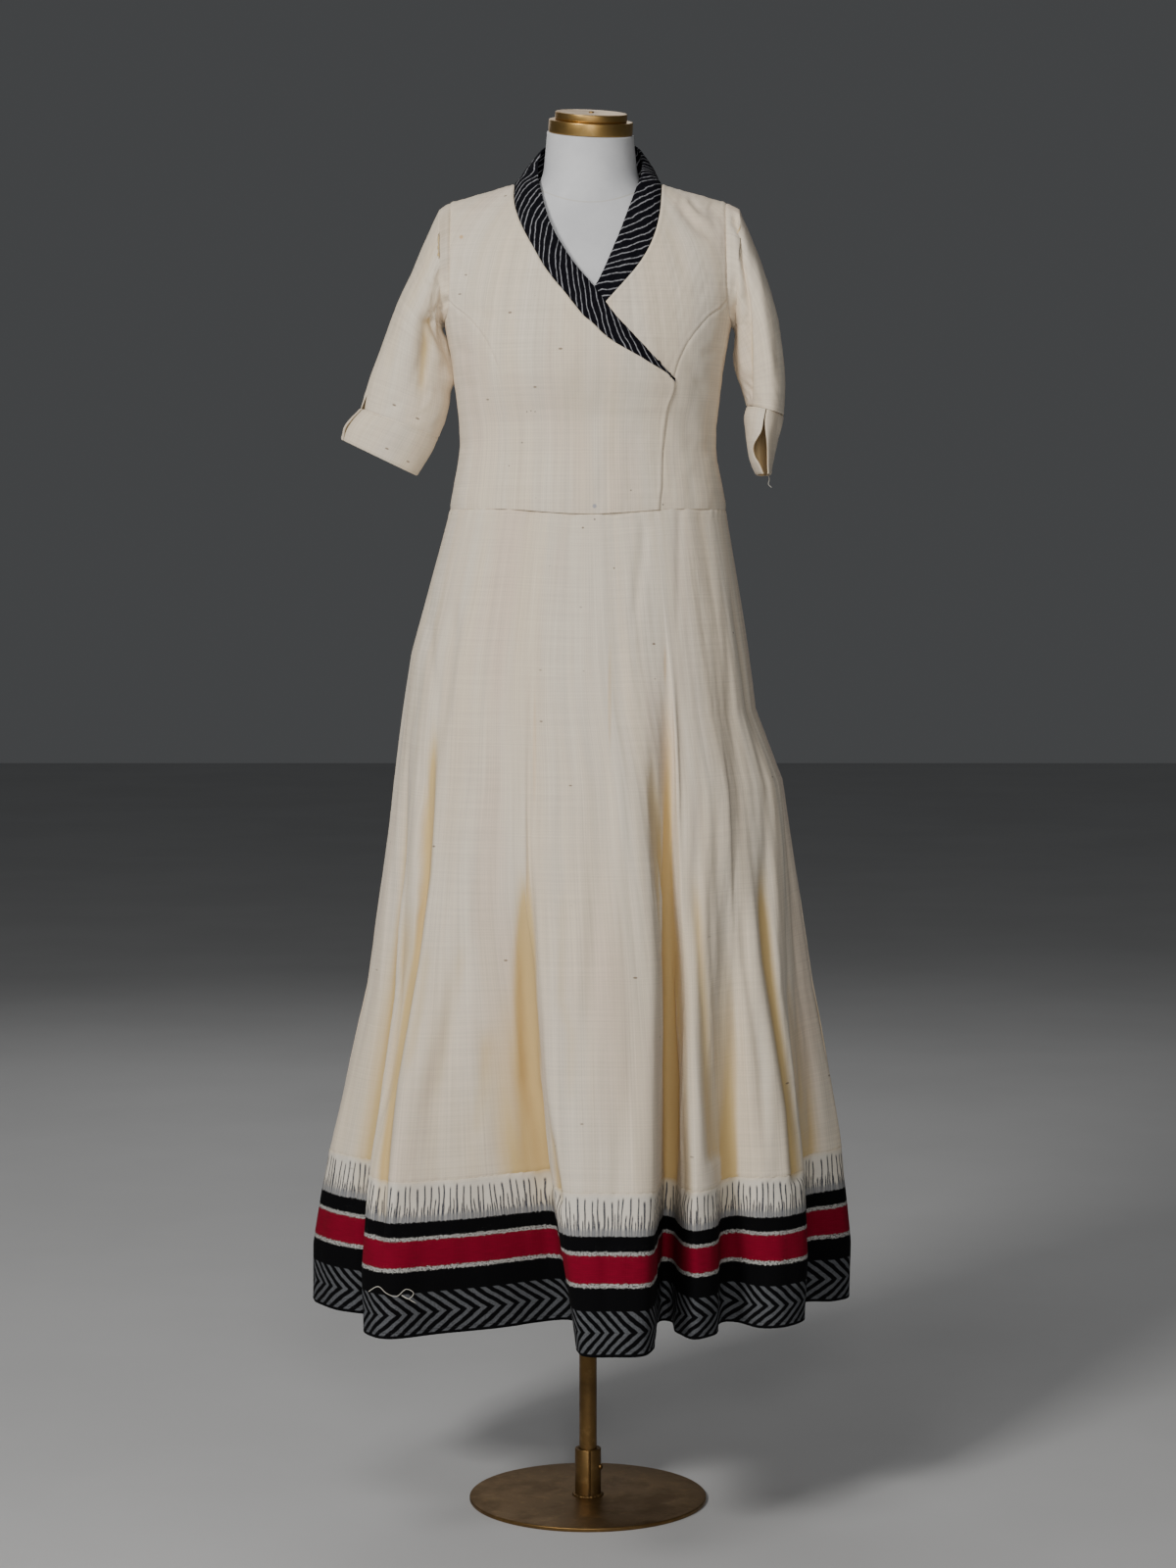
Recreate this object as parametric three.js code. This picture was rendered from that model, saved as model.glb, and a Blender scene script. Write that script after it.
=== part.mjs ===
// A wrap-front maxi dress on a limbless dress form. Units are millimetres, +Z is up and the
// wearer faces -Y, so the wearer's right side is at -X. The origin is the centre of the base
// plate's underside, where the stand rests on the floor.
//
// Every cloth piece is a thin wall. Its outer face is sampled from a surface formula (the
// bodice, a sleeve, or the folded skirt) and its inner face is the outer one moved in along
// the normals, so the walls keep one thickness round every fold.

import * as THREE from 'three';

// ---------------------------------------------------------------- driving dimensions

const CLOTH = 1.5; // thickness of the main cloth
const COLLAR_CLOTH = 1.9; // the collar is two layers
const SEAM_GAP = 0.3; // between pieces that are sewn together
const CURVED_SEAM_GAP = 0.5; // the same at the waist and the neckline, whose edges are faceted
const ARMHOLE_GAP = 0.9; // the same round the armholes
const OVERLAP_LIFT = 2.7; // how far the wrap's upper front lies outside the lower one
const LIFT_FADE = { // where that lift fades out: by angle to the right, by height to the shoulder
  angles: [-0.62, -0.3],
  heights: [0.8, 0.97],
};

const HEM_Z = 261;
const WAIST_Z = 1250; // waist seam at the sides
const WAIST_DIP = { depth: 6, halfWidth: 115 }; // the seam hangs lower at centre front
const DIP_FADE = { bodice: 0.2, skirt: 6 }; // height it fades over above the seam, power below it
const SHOULDER_PEAK_Z = 1676; // where the two shoulder slopes would meet over the neck
const SHOULDER_SLOPE = 0.28; // fall of the shoulder line per millimetre outwards
const SHOULDER_Y = 5; // the shoulder seam, just behind the middle
const LEAN = { from: 0.45, over: 0.4 }; // heights over which the bodice's middle shifts back to it
const FRONT_ROUNDING = 0.8; // height fraction where the front starts to curve to the seam
const BACK_ROUNDING = 0.86;
const HEM_CONE = { halfWidth: 340, front: 334, back: 332, square: 2 }; // the flare at the hem
const FOLD_SOFTNESS = 0.05; // how gently a fold starts, as a share of the skirt's length
const ROUNDING_SPEED = 3; // how soon the squarish waist rounds out down the skirt

const FORM_BOTTOM_Z = 1000;
const NECK_BASE_Z = 1640;
const NECK_X = 3; // the neck stands a little to the wearer's left
const CAP_PITCH = 0.21; // the neck plate leans forward, in radians
const CAP_ROLL = 0.047; // and is a little lower on the wearer's left

const BASE = { radius: 150, height: 5, bevel: 1 };
const POLE = { radius: 11 };
const SOCKET = { outer: 16.5, height: 60, slit: 3, slitAngle: -1.45 };

const FINISHES = {
  cotton: { color: 0xb9b0a2, roughness: 0.9, metalness: 0 },
  stripe: { color: 0x0d0d12, roughness: 0.85, metalness: 0 },
  border: { color: 0x3c1016, roughness: 0.9, metalness: 0 },
  form: { color: 0xbfc1c3, roughness: 0.55, metalness: 0 },
  brass: { color: 0x9a6a24, roughness: 0.35, metalness: 1 },
  bronze: { color: 0x4b3a26, roughness: 0.45, metalness: 0.9 },
};

// Bodice half-width and depths by height fraction: 0 is the waist seam, 1 the shoulder line.
const BODICE = [
  { h: 0.0, halfWidth: 171, front: 112, back: 108, square: 2.3 },
  { h: 0.07, halfWidth: 167, front: 110, back: 104, square: 2.3 },
  { h: 0.17, halfWidth: 160, front: 105, back: 95, square: 2.3 },
  { h: 0.26, halfWidth: 159, front: 105, back: 91, square: 2.3 },
  { h: 0.34, halfWidth: 162, front: 114, back: 94, square: 2.3 },
  { h: 0.4, halfWidth: 165, front: 120, back: 99, square: 2.3 },
  { h: 0.48, halfWidth: 169, front: 120, back: 105, square: 2.4 },
  { h: 0.6, halfWidth: 177, front: 109, back: 112, square: 2.6 },
  { h: 0.7, halfWidth: 184, front: 96, back: 112, square: 2.8 },
  { h: 0.8, halfWidth: 188, front: 82, back: 106, square: 2.8 },
  { h: 0.9, halfWidth: 190, front: 66, back: 88, square: 2.8 },
  { h: 1.0, halfWidth: 190, front: 52, back: 72, square: 2.8 },
];

// Seams and edges of the front, as x and z on the bodice seen from the front.
const PRINCESS_LEFT = [
  { x: 86, z: 1243 }, { x: 89, z: 1280 }, { x: 91, z: 1332 }, { x: 96, z: 1370 },
  { x: 104, z: 1405 }, { x: 111, z: 1430 }, { x: 126, z: 1458 }, { x: 148, z: 1485 },
  { x: 170, z: 1505 },
];
const PRINCESS_RIGHT = [
  { x: -98, z: 1243 }, { x: -101, z: 1280 }, { x: -103, z: 1332 }, { x: -106, z: 1384 },
  { x: -108, z: 1410 }, { x: -115, z: 1434 }, { x: -128, z: 1460 }, { x: -149, z: 1485 },
  { x: -170, z: 1505 },
];
const ARMHOLE = [ // half of it, from the underarm up to the shoulder seam
  { x: 177, h: 0.6 }, { x: 174, h: 0.625 }, { x: 171.5, h: 0.66 }, { x: 170, h: 0.72 },
  { x: 170, h: 0.8 }, { x: 170, h: 0.9 }, { x: 170, h: 1.0 },
];
const WRAP_EDGE = [ // collar seam of the upper front, from the tip to the shoulder
  { x: 104, z: 1405 }, { x: 64, z: 1432 }, { x: 27, z: 1453 }, { x: 3, z: 1475 },
  { x: -21, z: 1502 }, { x: -46, z: 1534 }, { x: -63, z: 1562 }, { x: -77, z: 1588 },
  { x: -87, z: 1612 }, { x: -91, z: 1630 }, { x: -91, z: 1650.5 },
];
const UNDER_EDGE = [ // collar seam of the lower front, from under the wrap to the shoulder
  { x: -34, z: 1243 }, { x: -34, z: 1390 }, { x: -22, z: 1440 }, { x: 0, z: 1474 },
  { x: 21, z: 1499 }, { x: 37, z: 1517 }, { x: 52, z: 1534 }, { x: 66, z: 1553 },
  { x: 76, z: 1571 }, { x: 83, z: 1590 }, { x: 88, z: 1613 }, { x: 90, z: 1632 },
  { x: 91, z: 1650.5 },
];
const BACK_NECKLINE = [ // half of it, from the shoulder seam to the centre back
  { x: 91, h: 1.0 }, { x: 88, h: 0.982 }, { x: 74, h: 0.962 }, { x: 42, h: 0.944 },
  { x: 0, h: 0.938 },
];

// Free edge of the collar's front part, by the height of the seam across from it. "off" is
// how far the edge stands off the bodice surface; "crown" is the swell between the edges.
const COLLAR_RIGHT = [
  { seamZ: 1409, x: 95, z: 1416, off: 0, crown: 0.5 },
  { seamZ: 1421, x: 82, z: 1432, off: 0, crown: 1 },
  { seamZ: 1434, x: 66, z: 1450, off: 0, crown: 2 },
  { seamZ: 1446, x: 46, z: 1470, off: 0, crown: 2.5 },
  { seamZ: 1461, x: 29, z: 1488, off: 0, crown: 3 },
  { seamZ: 1482, x: 14, z: 1511, off: 0.5, crown: 3 },
  { seamZ: 1506, x: -6, z: 1534, off: 1, crown: 3 },
  { seamZ: 1531, x: -22, z: 1555, off: 1, crown: 3 },
  { seamZ: 1558, x: -37, z: 1579, off: 1, crown: 3 },
  { seamZ: 1586, x: -48, z: 1602, off: 1, crown: 3.5 },
  { seamZ: 1612, x: -54, z: 1624, off: 3, crown: 4 },
  { seamZ: 1632, x: -58, z: 1643, off: 8, crown: 4.5 },
  { seamZ: 1650.5, x: -62, z: 1660, off: 14, crown: 5 },
];
const COLLAR_LEFT = [
  { seamZ: 1458, x: -20, z: 1480, off: 0, crown: 0 },
  { seamZ: 1482, x: -5, z: 1500, off: 0, crown: 0 },
  { seamZ: 1501, x: 9, z: 1519, off: 0, crown: 0 },
  { seamZ: 1520, x: 19, z: 1540, off: 0.5, crown: 1.5 },
  { seamZ: 1538, x: 28, z: 1561, off: 1, crown: 3 },
  { seamZ: 1558, x: 37, z: 1583, off: 1, crown: 3 },
  { seamZ: 1582, x: 46, z: 1607, off: 1, crown: 3.5 },
  { seamZ: 1612, x: 54, z: 1630, off: 4, crown: 4 },
  { seamZ: 1632, x: 60, z: 1646, off: 9, crown: 4.5 },
  { seamZ: 1650.5, x: 65, z: 1661, off: 14, crown: 5 },
];
const COLLAR_BACK = [ // free edge of the standing part; turn runs from shoulder seam to centre back
  { turn: 0.2, x: 66, y: 9, z: 1682, crown: 7 },
  { turn: 0.4, x: 64, y: 36, z: 1700, crown: 8 },
  { turn: 0.6, x: 52, y: 60, z: 1709, crown: 6 },
  { turn: 0.8, x: 28, y: 72, z: 1712, crown: 4.5 },
  { turn: 1.0, x: 0, y: 76, z: 1713, crown: 4 },
];
const COLLAR_SWELL = { outwards: 0.8, forwards: -10, up: 20 }; // direction of the collar's swell
const COLLAR_COLUMNS = 4;
const CENTRE_BACK_TRIM = 0.01; // half the seam's gap at centre back, in ribs

// Sleeve rings after the armhole. Outer and inner are the two silhouette points seen from
// the front, depth is half the ring from front to back, shear slides the front outwards.
const SLEEVE_RIGHT = [
  { outerX: -184, outerZ: 1619, innerX: -180.5, innerZ: 1475, depth: 55, y: 4, shear: 0 },
  { outerX: -198, outerZ: 1588, innerX: -181.5, innerZ: 1470, depth: 56, y: 3, shear: 2 },
  { outerX: -216, outerZ: 1545, innerX: -180.5, innerZ: 1458, depth: 56, y: 2, shear: 6 },
  { outerX: -236, outerZ: 1500, innerX: -176, innerZ: 1440, depth: 54, y: 2, shear: 9 },
  { outerX: -254, outerZ: 1454, innerX: -171, innerZ: 1416, depth: 50, y: 2, shear: 8 },
  { outerX: -270, outerZ: 1414, innerX: -173, innerZ: 1376, depth: 44, y: 2, shear: 3 },
  { outerX: -282, outerZ: 1375.5, innerX: -185.5, innerZ: 1339.5, depth: 41, y: 2, shear: 0 },
];
const SLEEVE_LEFT = [
  { outerX: 187, outerZ: 1620, innerX: 181, innerZ: 1474, depth: 55, y: 4, shear: 0 },
  { outerX: 203, outerZ: 1582, innerX: 182.5, innerZ: 1466, depth: 57, y: 3, shear: 2 },
  { outerX: 221, outerZ: 1536, innerX: 182, innerZ: 1454, depth: 58, y: 2, shear: 6 },
  { outerX: 233, outerZ: 1493, innerX: 181.5, innerZ: 1440, depth: 59, y: 2, shear: 9 },
  { outerX: 240, outerZ: 1448, innerX: 185, innerZ: 1420, depth: 60, y: 2, shear: 8 },
  { outerX: 243.5, outerZ: 1405, innerX: 192, innerZ: 1398, depth: 59, y: 1, shear: 5 },
  { outerX: 242, outerZ: 1366, innerX: 197.5, innerZ: 1378, depth: 58, y: 0, shear: 3 },
];
const SLEEVE_SIDES = 24;
const NOTCH_HALF_ANGLE = 0.35; // half the width of the notch in a sleeve over its cuff's slit
// Cuff rings; slit is the angle of the opening and gap half its width, in radians. The notch
// is how far the slit cuts up into the sleeve.
const CUFF_RIGHT = { // its slit faces outwards
  notch: 20,
  rings: [
    { outerX: -282.2, outerZ: 1375, innerX: -185.7, innerZ: 1339, depth: 41, y: 2, slit: -0.12, gap: 0.1 },
    { outerX: -294.5, outerZ: 1364, innerX: -192, innerZ: 1325, depth: 39, y: 2, slit: -0.12, gap: 0.12 },
    { outerX: -303.5, outerZ: 1351, innerX: -201, innerZ: 1310, depth: 36, y: 2, slit: -0.12, gap: 0.13 },
    { outerX: -306.5, outerZ: 1337, innerX: -213, innerZ: 1292, depth: 33, y: 2, slit: -0.12, gap: 0.1 },
  ],
};
const CUFF_LEFT = { // its slit faces the front, shut above and gaping below
  notch: 0,
  rings: [
    { outerX: 241.9, outerZ: 1365.6, innerX: 197.4, innerZ: 1377.6, depth: 58, y: 0, slit: 1.64, gap: 0.03 },
    { outerX: 240.6, outerZ: 1352, innerX: 194, innerZ: 1365, depth: 58, y: 0, slit: 1.64, gap: 0.04 },
    { outerX: 236.5, outerZ: 1338, innerX: 195.7, innerZ: 1347, depth: 59, y: 0, slit: 1.66, gap: 0.16 },
    { outerX: 232.5, outerZ: 1321, innerX: 198.5, innerZ: 1323, depth: 60, y: 0, slit: 1.86, gap: 0.6 },
    { outerX: 229, outerZ: 1305, innerX: 203.5, innerZ: 1305, depth: 61, y: 0, slit: 1.68, gap: 0.47 },
    { outerX: 227, outerZ: 1293, innerX: 210, innerZ: 1293, depth: 62, y: 0, slit: 1.65, gap: 0.44 },
  ],
};

// Skirt folds: where each ridge or valley leaves the waist (angle from the front, turning to
// the wearer's left), where it meets the hem, how far down it starts to leave the cone, and how
// high the sewn-on band stands there.
const FOLDS = [
  { hip: -92, x: -345, y: -15, start: 0.2, band: 189 },
  { hip: -88, x: -322, y: -68, start: 0.2, band: 189 },
  { hip: -85, x: -284, y: -102, start: 0.22, band: 188 },
  { hip: -82, x: -240, y: -116, start: 0.24, band: 187 },
  { hip: -79, x: -254, y: -166, start: 0.25, band: 186 },
  { hip: -76, x: -268, y: -208, start: 0.2, band: 184 },
  { hip: -66, x: -236, y: -240, start: 0.2, band: 182 },
  { hip: -56, x: -178, y: -213, start: 0.35, band: 182 },
  { hip: -48, x: -112, y: -184, start: 0.42, band: 184 },
  { hip: -42, x: -60, y: -152, start: 0.46, band: 186 },
  { hip: -38, x: -18, y: -142, start: 0.46, band: 187 },
  { hip: -34, x: -12, y: -232, start: 0.42, band: 187 },
  { hip: -30, x: -9, y: -320, start: 0.2, band: 186 },
  { hip: -2, x: 30, y: -331, start: 0.2, band: 186 },
  { hip: 27, x: 70, y: -320, start: 0.2, band: 184 },
  { hip: 31, x: 80, y: -240, start: 0.24, band: 180 },
  { hip: 34, x: 86, y: -152, start: 0.22, band: 178 },
  { hip: 36, x: 102, y: -152, start: 0.22, band: 176 },
  { hip: 38, x: 107, y: -208, start: 0.28, band: 174 },
  { hip: 41, x: 126, y: -242, start: 0.2, band: 173 },
  { hip: 45, x: 152, y: -216, start: 0.3, band: 174 },
  { hip: 49, x: 160, y: -160, start: 0.36, band: 176 },
  { hip: 53, x: 178, y: -150, start: 0.36, band: 178 },
  { hip: 58, x: 208, y: -182, start: 0.25, band: 180 },
  { hip: 66, x: 240, y: -176, start: 0.2, band: 180 },
  { hip: 72, x: 264, y: -140, start: 0.3, band: 181 },
  { hip: 77, x: 256, y: -78, start: 0.38, band: 184 },
  { hip: 81, x: 272, y: -42, start: 0.36, band: 187 },
  { hip: 86, x: 306, y: -36, start: 0.22, band: 190 },
  { hip: 92, x: 328, y: -8, start: 0.2, band: 191 },
  { hip: 99, x: 318, y: 50, start: 0.2, band: 190 },
  { hip: 105, x: 268, y: 86, start: 0.3, band: 188 },
  { hip: 110, x: 256, y: 132, start: 0.32, band: 186 },
  { hip: 118, x: 262, y: 190, start: 0.2, band: 183 },
  { hip: 127, x: 222, y: 236, start: 0.2, band: 181 },
  { hip: 134, x: 174, y: 214, start: 0.3, band: 182 },
  { hip: 139, x: 136, y: 158, start: 0.36, band: 185 },
  { hip: 144, x: 108, y: 178, start: 0.36, band: 187 },
  { hip: 151, x: 92, y: 262, start: 0.25, band: 185 },
  { hip: 160, x: 60, y: 322, start: 0.2, band: 181 },
  { hip: 174, x: 8, y: 332, start: 0.2, band: 180 },
  { hip: 186, x: -42, y: 318, start: 0.2, band: 182 },
  { hip: 193, x: -58, y: 240, start: 0.28, band: 185 },
  { hip: 198, x: -68, y: 166, start: 0.3, band: 187 },
  { hip: 203, x: -98, y: 160, start: 0.3, band: 187 },
  { hip: 209, x: -122, y: 214, start: 0.26, band: 185 },
  { hip: 217, x: -152, y: 268, start: 0.2, band: 182 },
  { hip: 226, x: -198, y: 262, start: 0.2, band: 181 },
  { hip: 233, x: -212, y: 204, start: 0.34, band: 184 },
  { hip: 239, x: -206, y: 146, start: 0.4, band: 187 },
  { hip: 245, x: -234, y: 122, start: 0.38, band: 188 },
  { hip: 253, x: -284, y: 140, start: 0.22, band: 186 },
  { hip: 260, x: -318, y: 104, start: 0.2, band: 186 },
  { hip: 264, x: -318, y: 52, start: 0.24, band: 188 },
];
const SKIRT_HALVES = [ // rows of FOLDS between the side seams
  { name: 'front', from: 0, to: 29 },
  { name: 'back', from: 29, to: FOLDS.length },
];
const SIDE_FLARE = [ // how far each side stands outside the cone, by share of the length
  { t: 0, right: 0, left: 0 }, { t: 0.08, right: 8, left: 0 }, { t: 0.18, right: 18, left: -1 },
  { t: 0.25, right: 16, left: -4 }, { t: 0.34, right: 13, left: 17 }, { t: 0.46, right: 6, left: 16 },
  { t: 0.6, right: 2, left: 16 }, { t: 0.72, right: 7, left: 21 }, { t: 0.79, right: 10, left: 21 },
  { t: 0.93, right: 11, left: 13 }, { t: 1, right: 2, left: 0 },
];
const SIDE_FLARE_POWER = 6; // how closely the flare keeps to the sides
const SIDE_SEAM_TRIM = 0.003; // half the side seam's gap, in rows of FOLDS
const COLUMNS_PER_FOLD = 2;
const SKIRT_ROWS = 10;
const BORDER_ROWS = 2;

// The dress form, bottom to neck. All of it stays inside the cloth with room to spare.
const FORM = [
  { z: 1000, halfWidth: 160, front: 100, back: 102, x: 0, y: 0, square: 2.3 },
  { z: 1060, halfWidth: 168, front: 104, back: 110, x: 0, y: 0, square: 2.3 },
  { z: 1150, halfWidth: 168, front: 104, back: 108, x: 0, y: 0, square: 2.3 },
  { z: 1240, halfWidth: 161, front: 101, back: 98, x: 0, y: 0, square: 2.3 },
  { z: 1300, halfWidth: 153, front: 96, back: 88, x: 0, y: 0, square: 2.3 },
  { z: 1350, halfWidth: 149, front: 95, back: 82, x: 0, y: 0, square: 2.3 },
  { z: 1385, halfWidth: 151, front: 103, back: 85, x: 0, y: 0, square: 2.3 },
  { z: 1415, halfWidth: 154, front: 110, back: 89, x: 0, y: 0, square: 2.3 },
  { z: 1450, halfWidth: 156, front: 108, back: 94, x: 0, y: 0, square: 2.35 },
  { z: 1490, halfWidth: 157, front: 99, back: 98, x: 0, y: 0, square: 2.4 },
  { z: 1530, halfWidth: 156, front: 88, back: 97, x: 0, y: 1, square: 2.4 },
  { z: 1565, halfWidth: 150, front: 76, back: 91, x: 0, y: 2, square: 2.3 },
  { z: 1590, halfWidth: 138, front: 66, back: 82, x: 0, y: 4, square: 2.2 },
  { z: 1608, halfWidth: 120, front: 60, back: 73, x: 0, y: 5, square: 2.1 },
  { z: 1624, halfWidth: 95, front: 57, back: 64, x: 1, y: 6, square: 2 },
  { z: 1640, halfWidth: 73, front: 56, back: 59, x: 2, y: 6, square: 2 },
  { z: 1660, halfWidth: 60, front: 55, back: 57, x: NECK_X, y: 6, square: 2 },
  { z: 1685, halfWidth: 56, front: 54, back: 55, x: NECK_X, y: 5, square: 2 },
  { z: 1713, halfWidth: 53.5, front: 53.5, back: 53.5, x: NECK_X, y: 3, square: 2 },
];
const FORM_SIDES = 36;
const SIDES = { cap: 36, pole: 32, base: 48, socket: 20 }; // facets round the turned parts
const CAPS = [
  { name: 'neck_cap_lower', radius: 52, height: 15.5, bevel: 1.2 },
  { name: 'neck_cap_upper', radius: 44.5, height: 9.5, bevel: 1.2 },
];

// ---------------------------------------------------------------- small tools

const lerp = THREE.MathUtils.lerp;
const clamp = THREE.MathUtils.clamp;
const rad = THREE.MathUtils.degToRad;
const vec = (x, y, z) => new THREE.Vector3(x, y, z);

/** Smooth curve through four neighbouring values (uniform Catmull-Rom). */
function catmull(a, b, c, d, t) {
  const t2 = t * t;
  const t3 = t2 * t;
  return 0.5 * (2 * b + (c - a) * t + (2 * a - 5 * b + 4 * c - d) * t2 + (3 * b - a - 3 * c + d) * t3);
}

/** Reads one named column of a table at a fractional row number. */
function columnAt(rows, name, position) {
  const last = rows.length - 1;
  const s = clamp(position, 0, last);
  const i = Math.min(Math.floor(s), last - 1);
  const pick = (k) => rows[clamp(k, 0, last)][name];
  return catmull(pick(i - 1), pick(i), pick(i + 1), pick(i + 2), s - i);
}

/** Row number, with its fraction, at which a rising column reaches a value. */
function rowWhere(rows, name, value) {
  const last = rows.length - 1;
  let i = 0;
  while (i < last - 1 && rows[i + 1][name] < value) i += 1;
  const span = rows[i + 1][name] - rows[i][name];
  return clamp(i + (value - rows[i][name]) / span, 0, last);
}

/** Reads a column by the value of another, rising column, without overshoot. */
function lookUp(rows, key, value, name) {
  const s = rowWhere(rows, key, value);
  const i = Math.min(Math.floor(s), rows.length - 2);
  return lerp(rows[i][name], rows[i + 1][name], s - i);
}

/** Same, along a smooth curve. */
function lookUpSmooth(rows, key, value, name) {
  return columnAt(rows, name, rowWhere(rows, key, value));
}

/** Joins an outer and an inner grid of points into one closed wall. */
function wallGeometry(outer, inner, closedAcross) {
  const rows = outer.length;
  const columns = outer[0].length;
  const points = [...outer.flat(), ...inner.flat()];
  const at = (side, i, j) => side * rows * columns + i * columns + (j % columns);
  const faces = [];
  const quad = (a, b, c, d) => faces.push(a, b, c, a, c, d);
  const spans = closedAcross ? columns : columns - 1;
  for (let i = 0; i < rows - 1; i += 1) {
    for (let j = 0; j < spans; j += 1) {
      quad(at(0, i, j), at(0, i, j + 1), at(0, i + 1, j + 1), at(0, i + 1, j));
      quad(at(1, i, j), at(1, i + 1, j), at(1, i + 1, j + 1), at(1, i, j + 1));
    }
  }
  for (let j = 0; j < spans; j += 1) {
    quad(at(0, 0, j), at(1, 0, j), at(1, 0, j + 1), at(0, 0, j + 1));
    const top = rows - 1;
    quad(at(0, top, j), at(0, top, j + 1), at(1, top, j + 1), at(1, top, j));
  }
  if (!closedAcross) {
    const end = columns - 1;
    for (let i = 0; i < rows - 1; i += 1) {
      quad(at(0, i, 0), at(0, i + 1, 0), at(1, i + 1, 0), at(1, i, 0));
      quad(at(0, i, end), at(1, i, end), at(1, i + 1, end), at(0, i + 1, end));
    }
  }
  return solidGeometry(points, faces);
}

/** Indexed geometry whose faces are turned outwards. */
function solidGeometry(points, faces) {
  let volume = 0;
  for (let k = 0; k < faces.length; k += 3) {
    const [a, b, c] = [points[faces[k]], points[faces[k + 1]], points[faces[k + 2]]];
    volume += a.dot(b.clone().cross(c));
  }
  const turned = volume < 0 ? [...faces].reverse() : faces;
  const geometry = new THREE.BufferGeometry();
  geometry.setAttribute('position', new THREE.Float32BufferAttribute(points.flatMap((p) => p.toArray()), 3));
  geometry.setIndex(turned);
  return geometry;
}

/**
 * A wall whose outer face is surface(u, v), sampled at the given steps. Seen from outside, u
 * runs to the right and v upwards.
 */
function clothWall(surface, across, up, thickness) {
  const step = 1e-3;
  const within = (value, steps) => clamp(value, steps[0], steps[steps.length - 1]);
  const outer = up.map((v) => across.map((u) => surface(u, v)));
  const inner = up.map((v, i) => across.map((u, j) => {
    const along = surface(within(u + step, across), v).sub(surface(within(u - step, across), v));
    const rise = surface(u, within(v + step, up)).sub(surface(u, within(v - step, up)));
    const inwards = rise.cross(along).normalize();
    return outer[i][j].clone().addScaledVector(inwards, thickness);
  }));
  return wallGeometry(outer, inner, false);
}

const even = (count) => Array.from({ length: count + 1 }, (_, k) => k / count);
const between = (from, to, count) => even(count).slice(1).map((t) => lerp(from, to, t));

// ---------------------------------------------------------------- the bodice surface

const shoulderZ = (x) => SHOULDER_PEAK_Z - SHOULDER_SLOPE * Math.abs(x);
const heightOf = (x, z) => (z - WAIST_Z) / (shoulderZ(x) - WAIST_Z);
const waistDip = (x) => WAIST_DIP.depth * Math.max(0, 1 - (x / WAIST_DIP.halfWidth) ** 2) ** 2;

/** Depth at a height, which curves to nothing at the shoulder seam. */
function bodiceDepth(h, side) {
  const start = side === 'front' ? FRONT_ROUNDING : BACK_ROUNDING;
  const turn = clamp((h - start) / (1 - start), 0, 1);
  return lookUpSmooth(BODICE, 'h', h, side) * Math.sqrt(1 - turn * turn);
}

/** Angle, from the front or the back middle, at which the bodice has this x. */
function angleOf(x, h) {
  const halfWidth = lookUpSmooth(BODICE, 'h', h, 'halfWidth');
  const square = lookUpSmooth(BODICE, 'h', h, 'square');
  const ratio = clamp(Math.abs(x) / halfWidth, 0, 1);
  return Math.sign(x) * Math.asin(ratio ** (square / 2));
}

/** A point of the bodice. The angle runs from -90 to 90 degrees over the front or the back. */
function bodicePoint(angle, h, side, lift = 0) {
  const halfWidth = lookUpSmooth(BODICE, 'h', h, 'halfWidth') + lift;
  const depth = bodiceDepth(h, side) + (h < 1 ? lift : 0);
  const power = 2 / lookUpSmooth(BODICE, 'h', h, 'square');
  const x = halfWidth * Math.sign(angle) * Math.abs(Math.sin(angle)) ** power;
  const reach = depth * Math.abs(Math.cos(angle)) ** power;
  const middle = SHOULDER_Y * clamp((h - LEAN.from) / LEAN.over, 0, 1);
  const dip = side === 'front' ? waistDip(x) * (1 - clamp(h / DIP_FADE.bodice, 0, 1)) ** 2 : 0;
  const z = WAIST_Z + (shoulderZ(x) - WAIST_Z) * h - dip;
  const y = side === 'front' ? middle - reach - SEAM_GAP / 2 : middle + reach + SEAM_GAP / 2;
  return vec(x, y, z);
}

/** Bodice coordinates of a point given by x and z. */
function onBodice({ x, z }) {
  const h = clamp(heightOf(x, z), 0, 1);
  return { angle: angleOf(x, h), h };
}

/** An edge given as x, z points, read by height fraction. */
function edgeByHeight(points) {
  const rows = points.map(onBodice);
  return (h) => lookUpSmooth(rows, 'h', h, 'angle');
}

const armholeRows = ARMHOLE.map(({ x, h }) => ({ h, angle: angleOf(x, h) }));
const UNDERARM_H = ARMHOLE[0].h;
const armholeAngle = (h) => lookUpSmooth(armholeRows, 'h', h, 'angle');
const armholeFront = armholeRows.slice(0, 4).reverse(); // the part that runs under the princess seam
const armholeHeight = (angle) => lookUpSmooth(armholeFront, 'angle', Math.abs(angle), 'h');

/** Side edge of a whole front or back: the side seam, then the armhole. */
const sideEdge = (h) => (h <= UNDERARM_H ? Math.PI / 2 : armholeAngle(h));

/** A side edge that is the princess seam up to the armhole. */
function princessEdge(points) {
  const sign = Math.sign(points[0].x);
  const curve = edgeByHeight(points);
  return (h) => (h <= JUNCTION_H ? curve(h) : sign * armholeAngle(h));
}

const JUNCTION_H = onBodice(PRINCESS_LEFT[PRINCESS_LEFT.length - 1]).h;
const princessLeft = princessEdge(PRINCESS_LEFT);
const princessRight = princessEdge(PRINCESS_RIGHT);
const wrapEdge = edgeByHeight([...PRINCESS_LEFT.filter(({ z }) => z < WRAP_EDGE[0].z), ...WRAP_EDGE]);
const underEdge = edgeByHeight(UNDER_EDGE);

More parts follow.
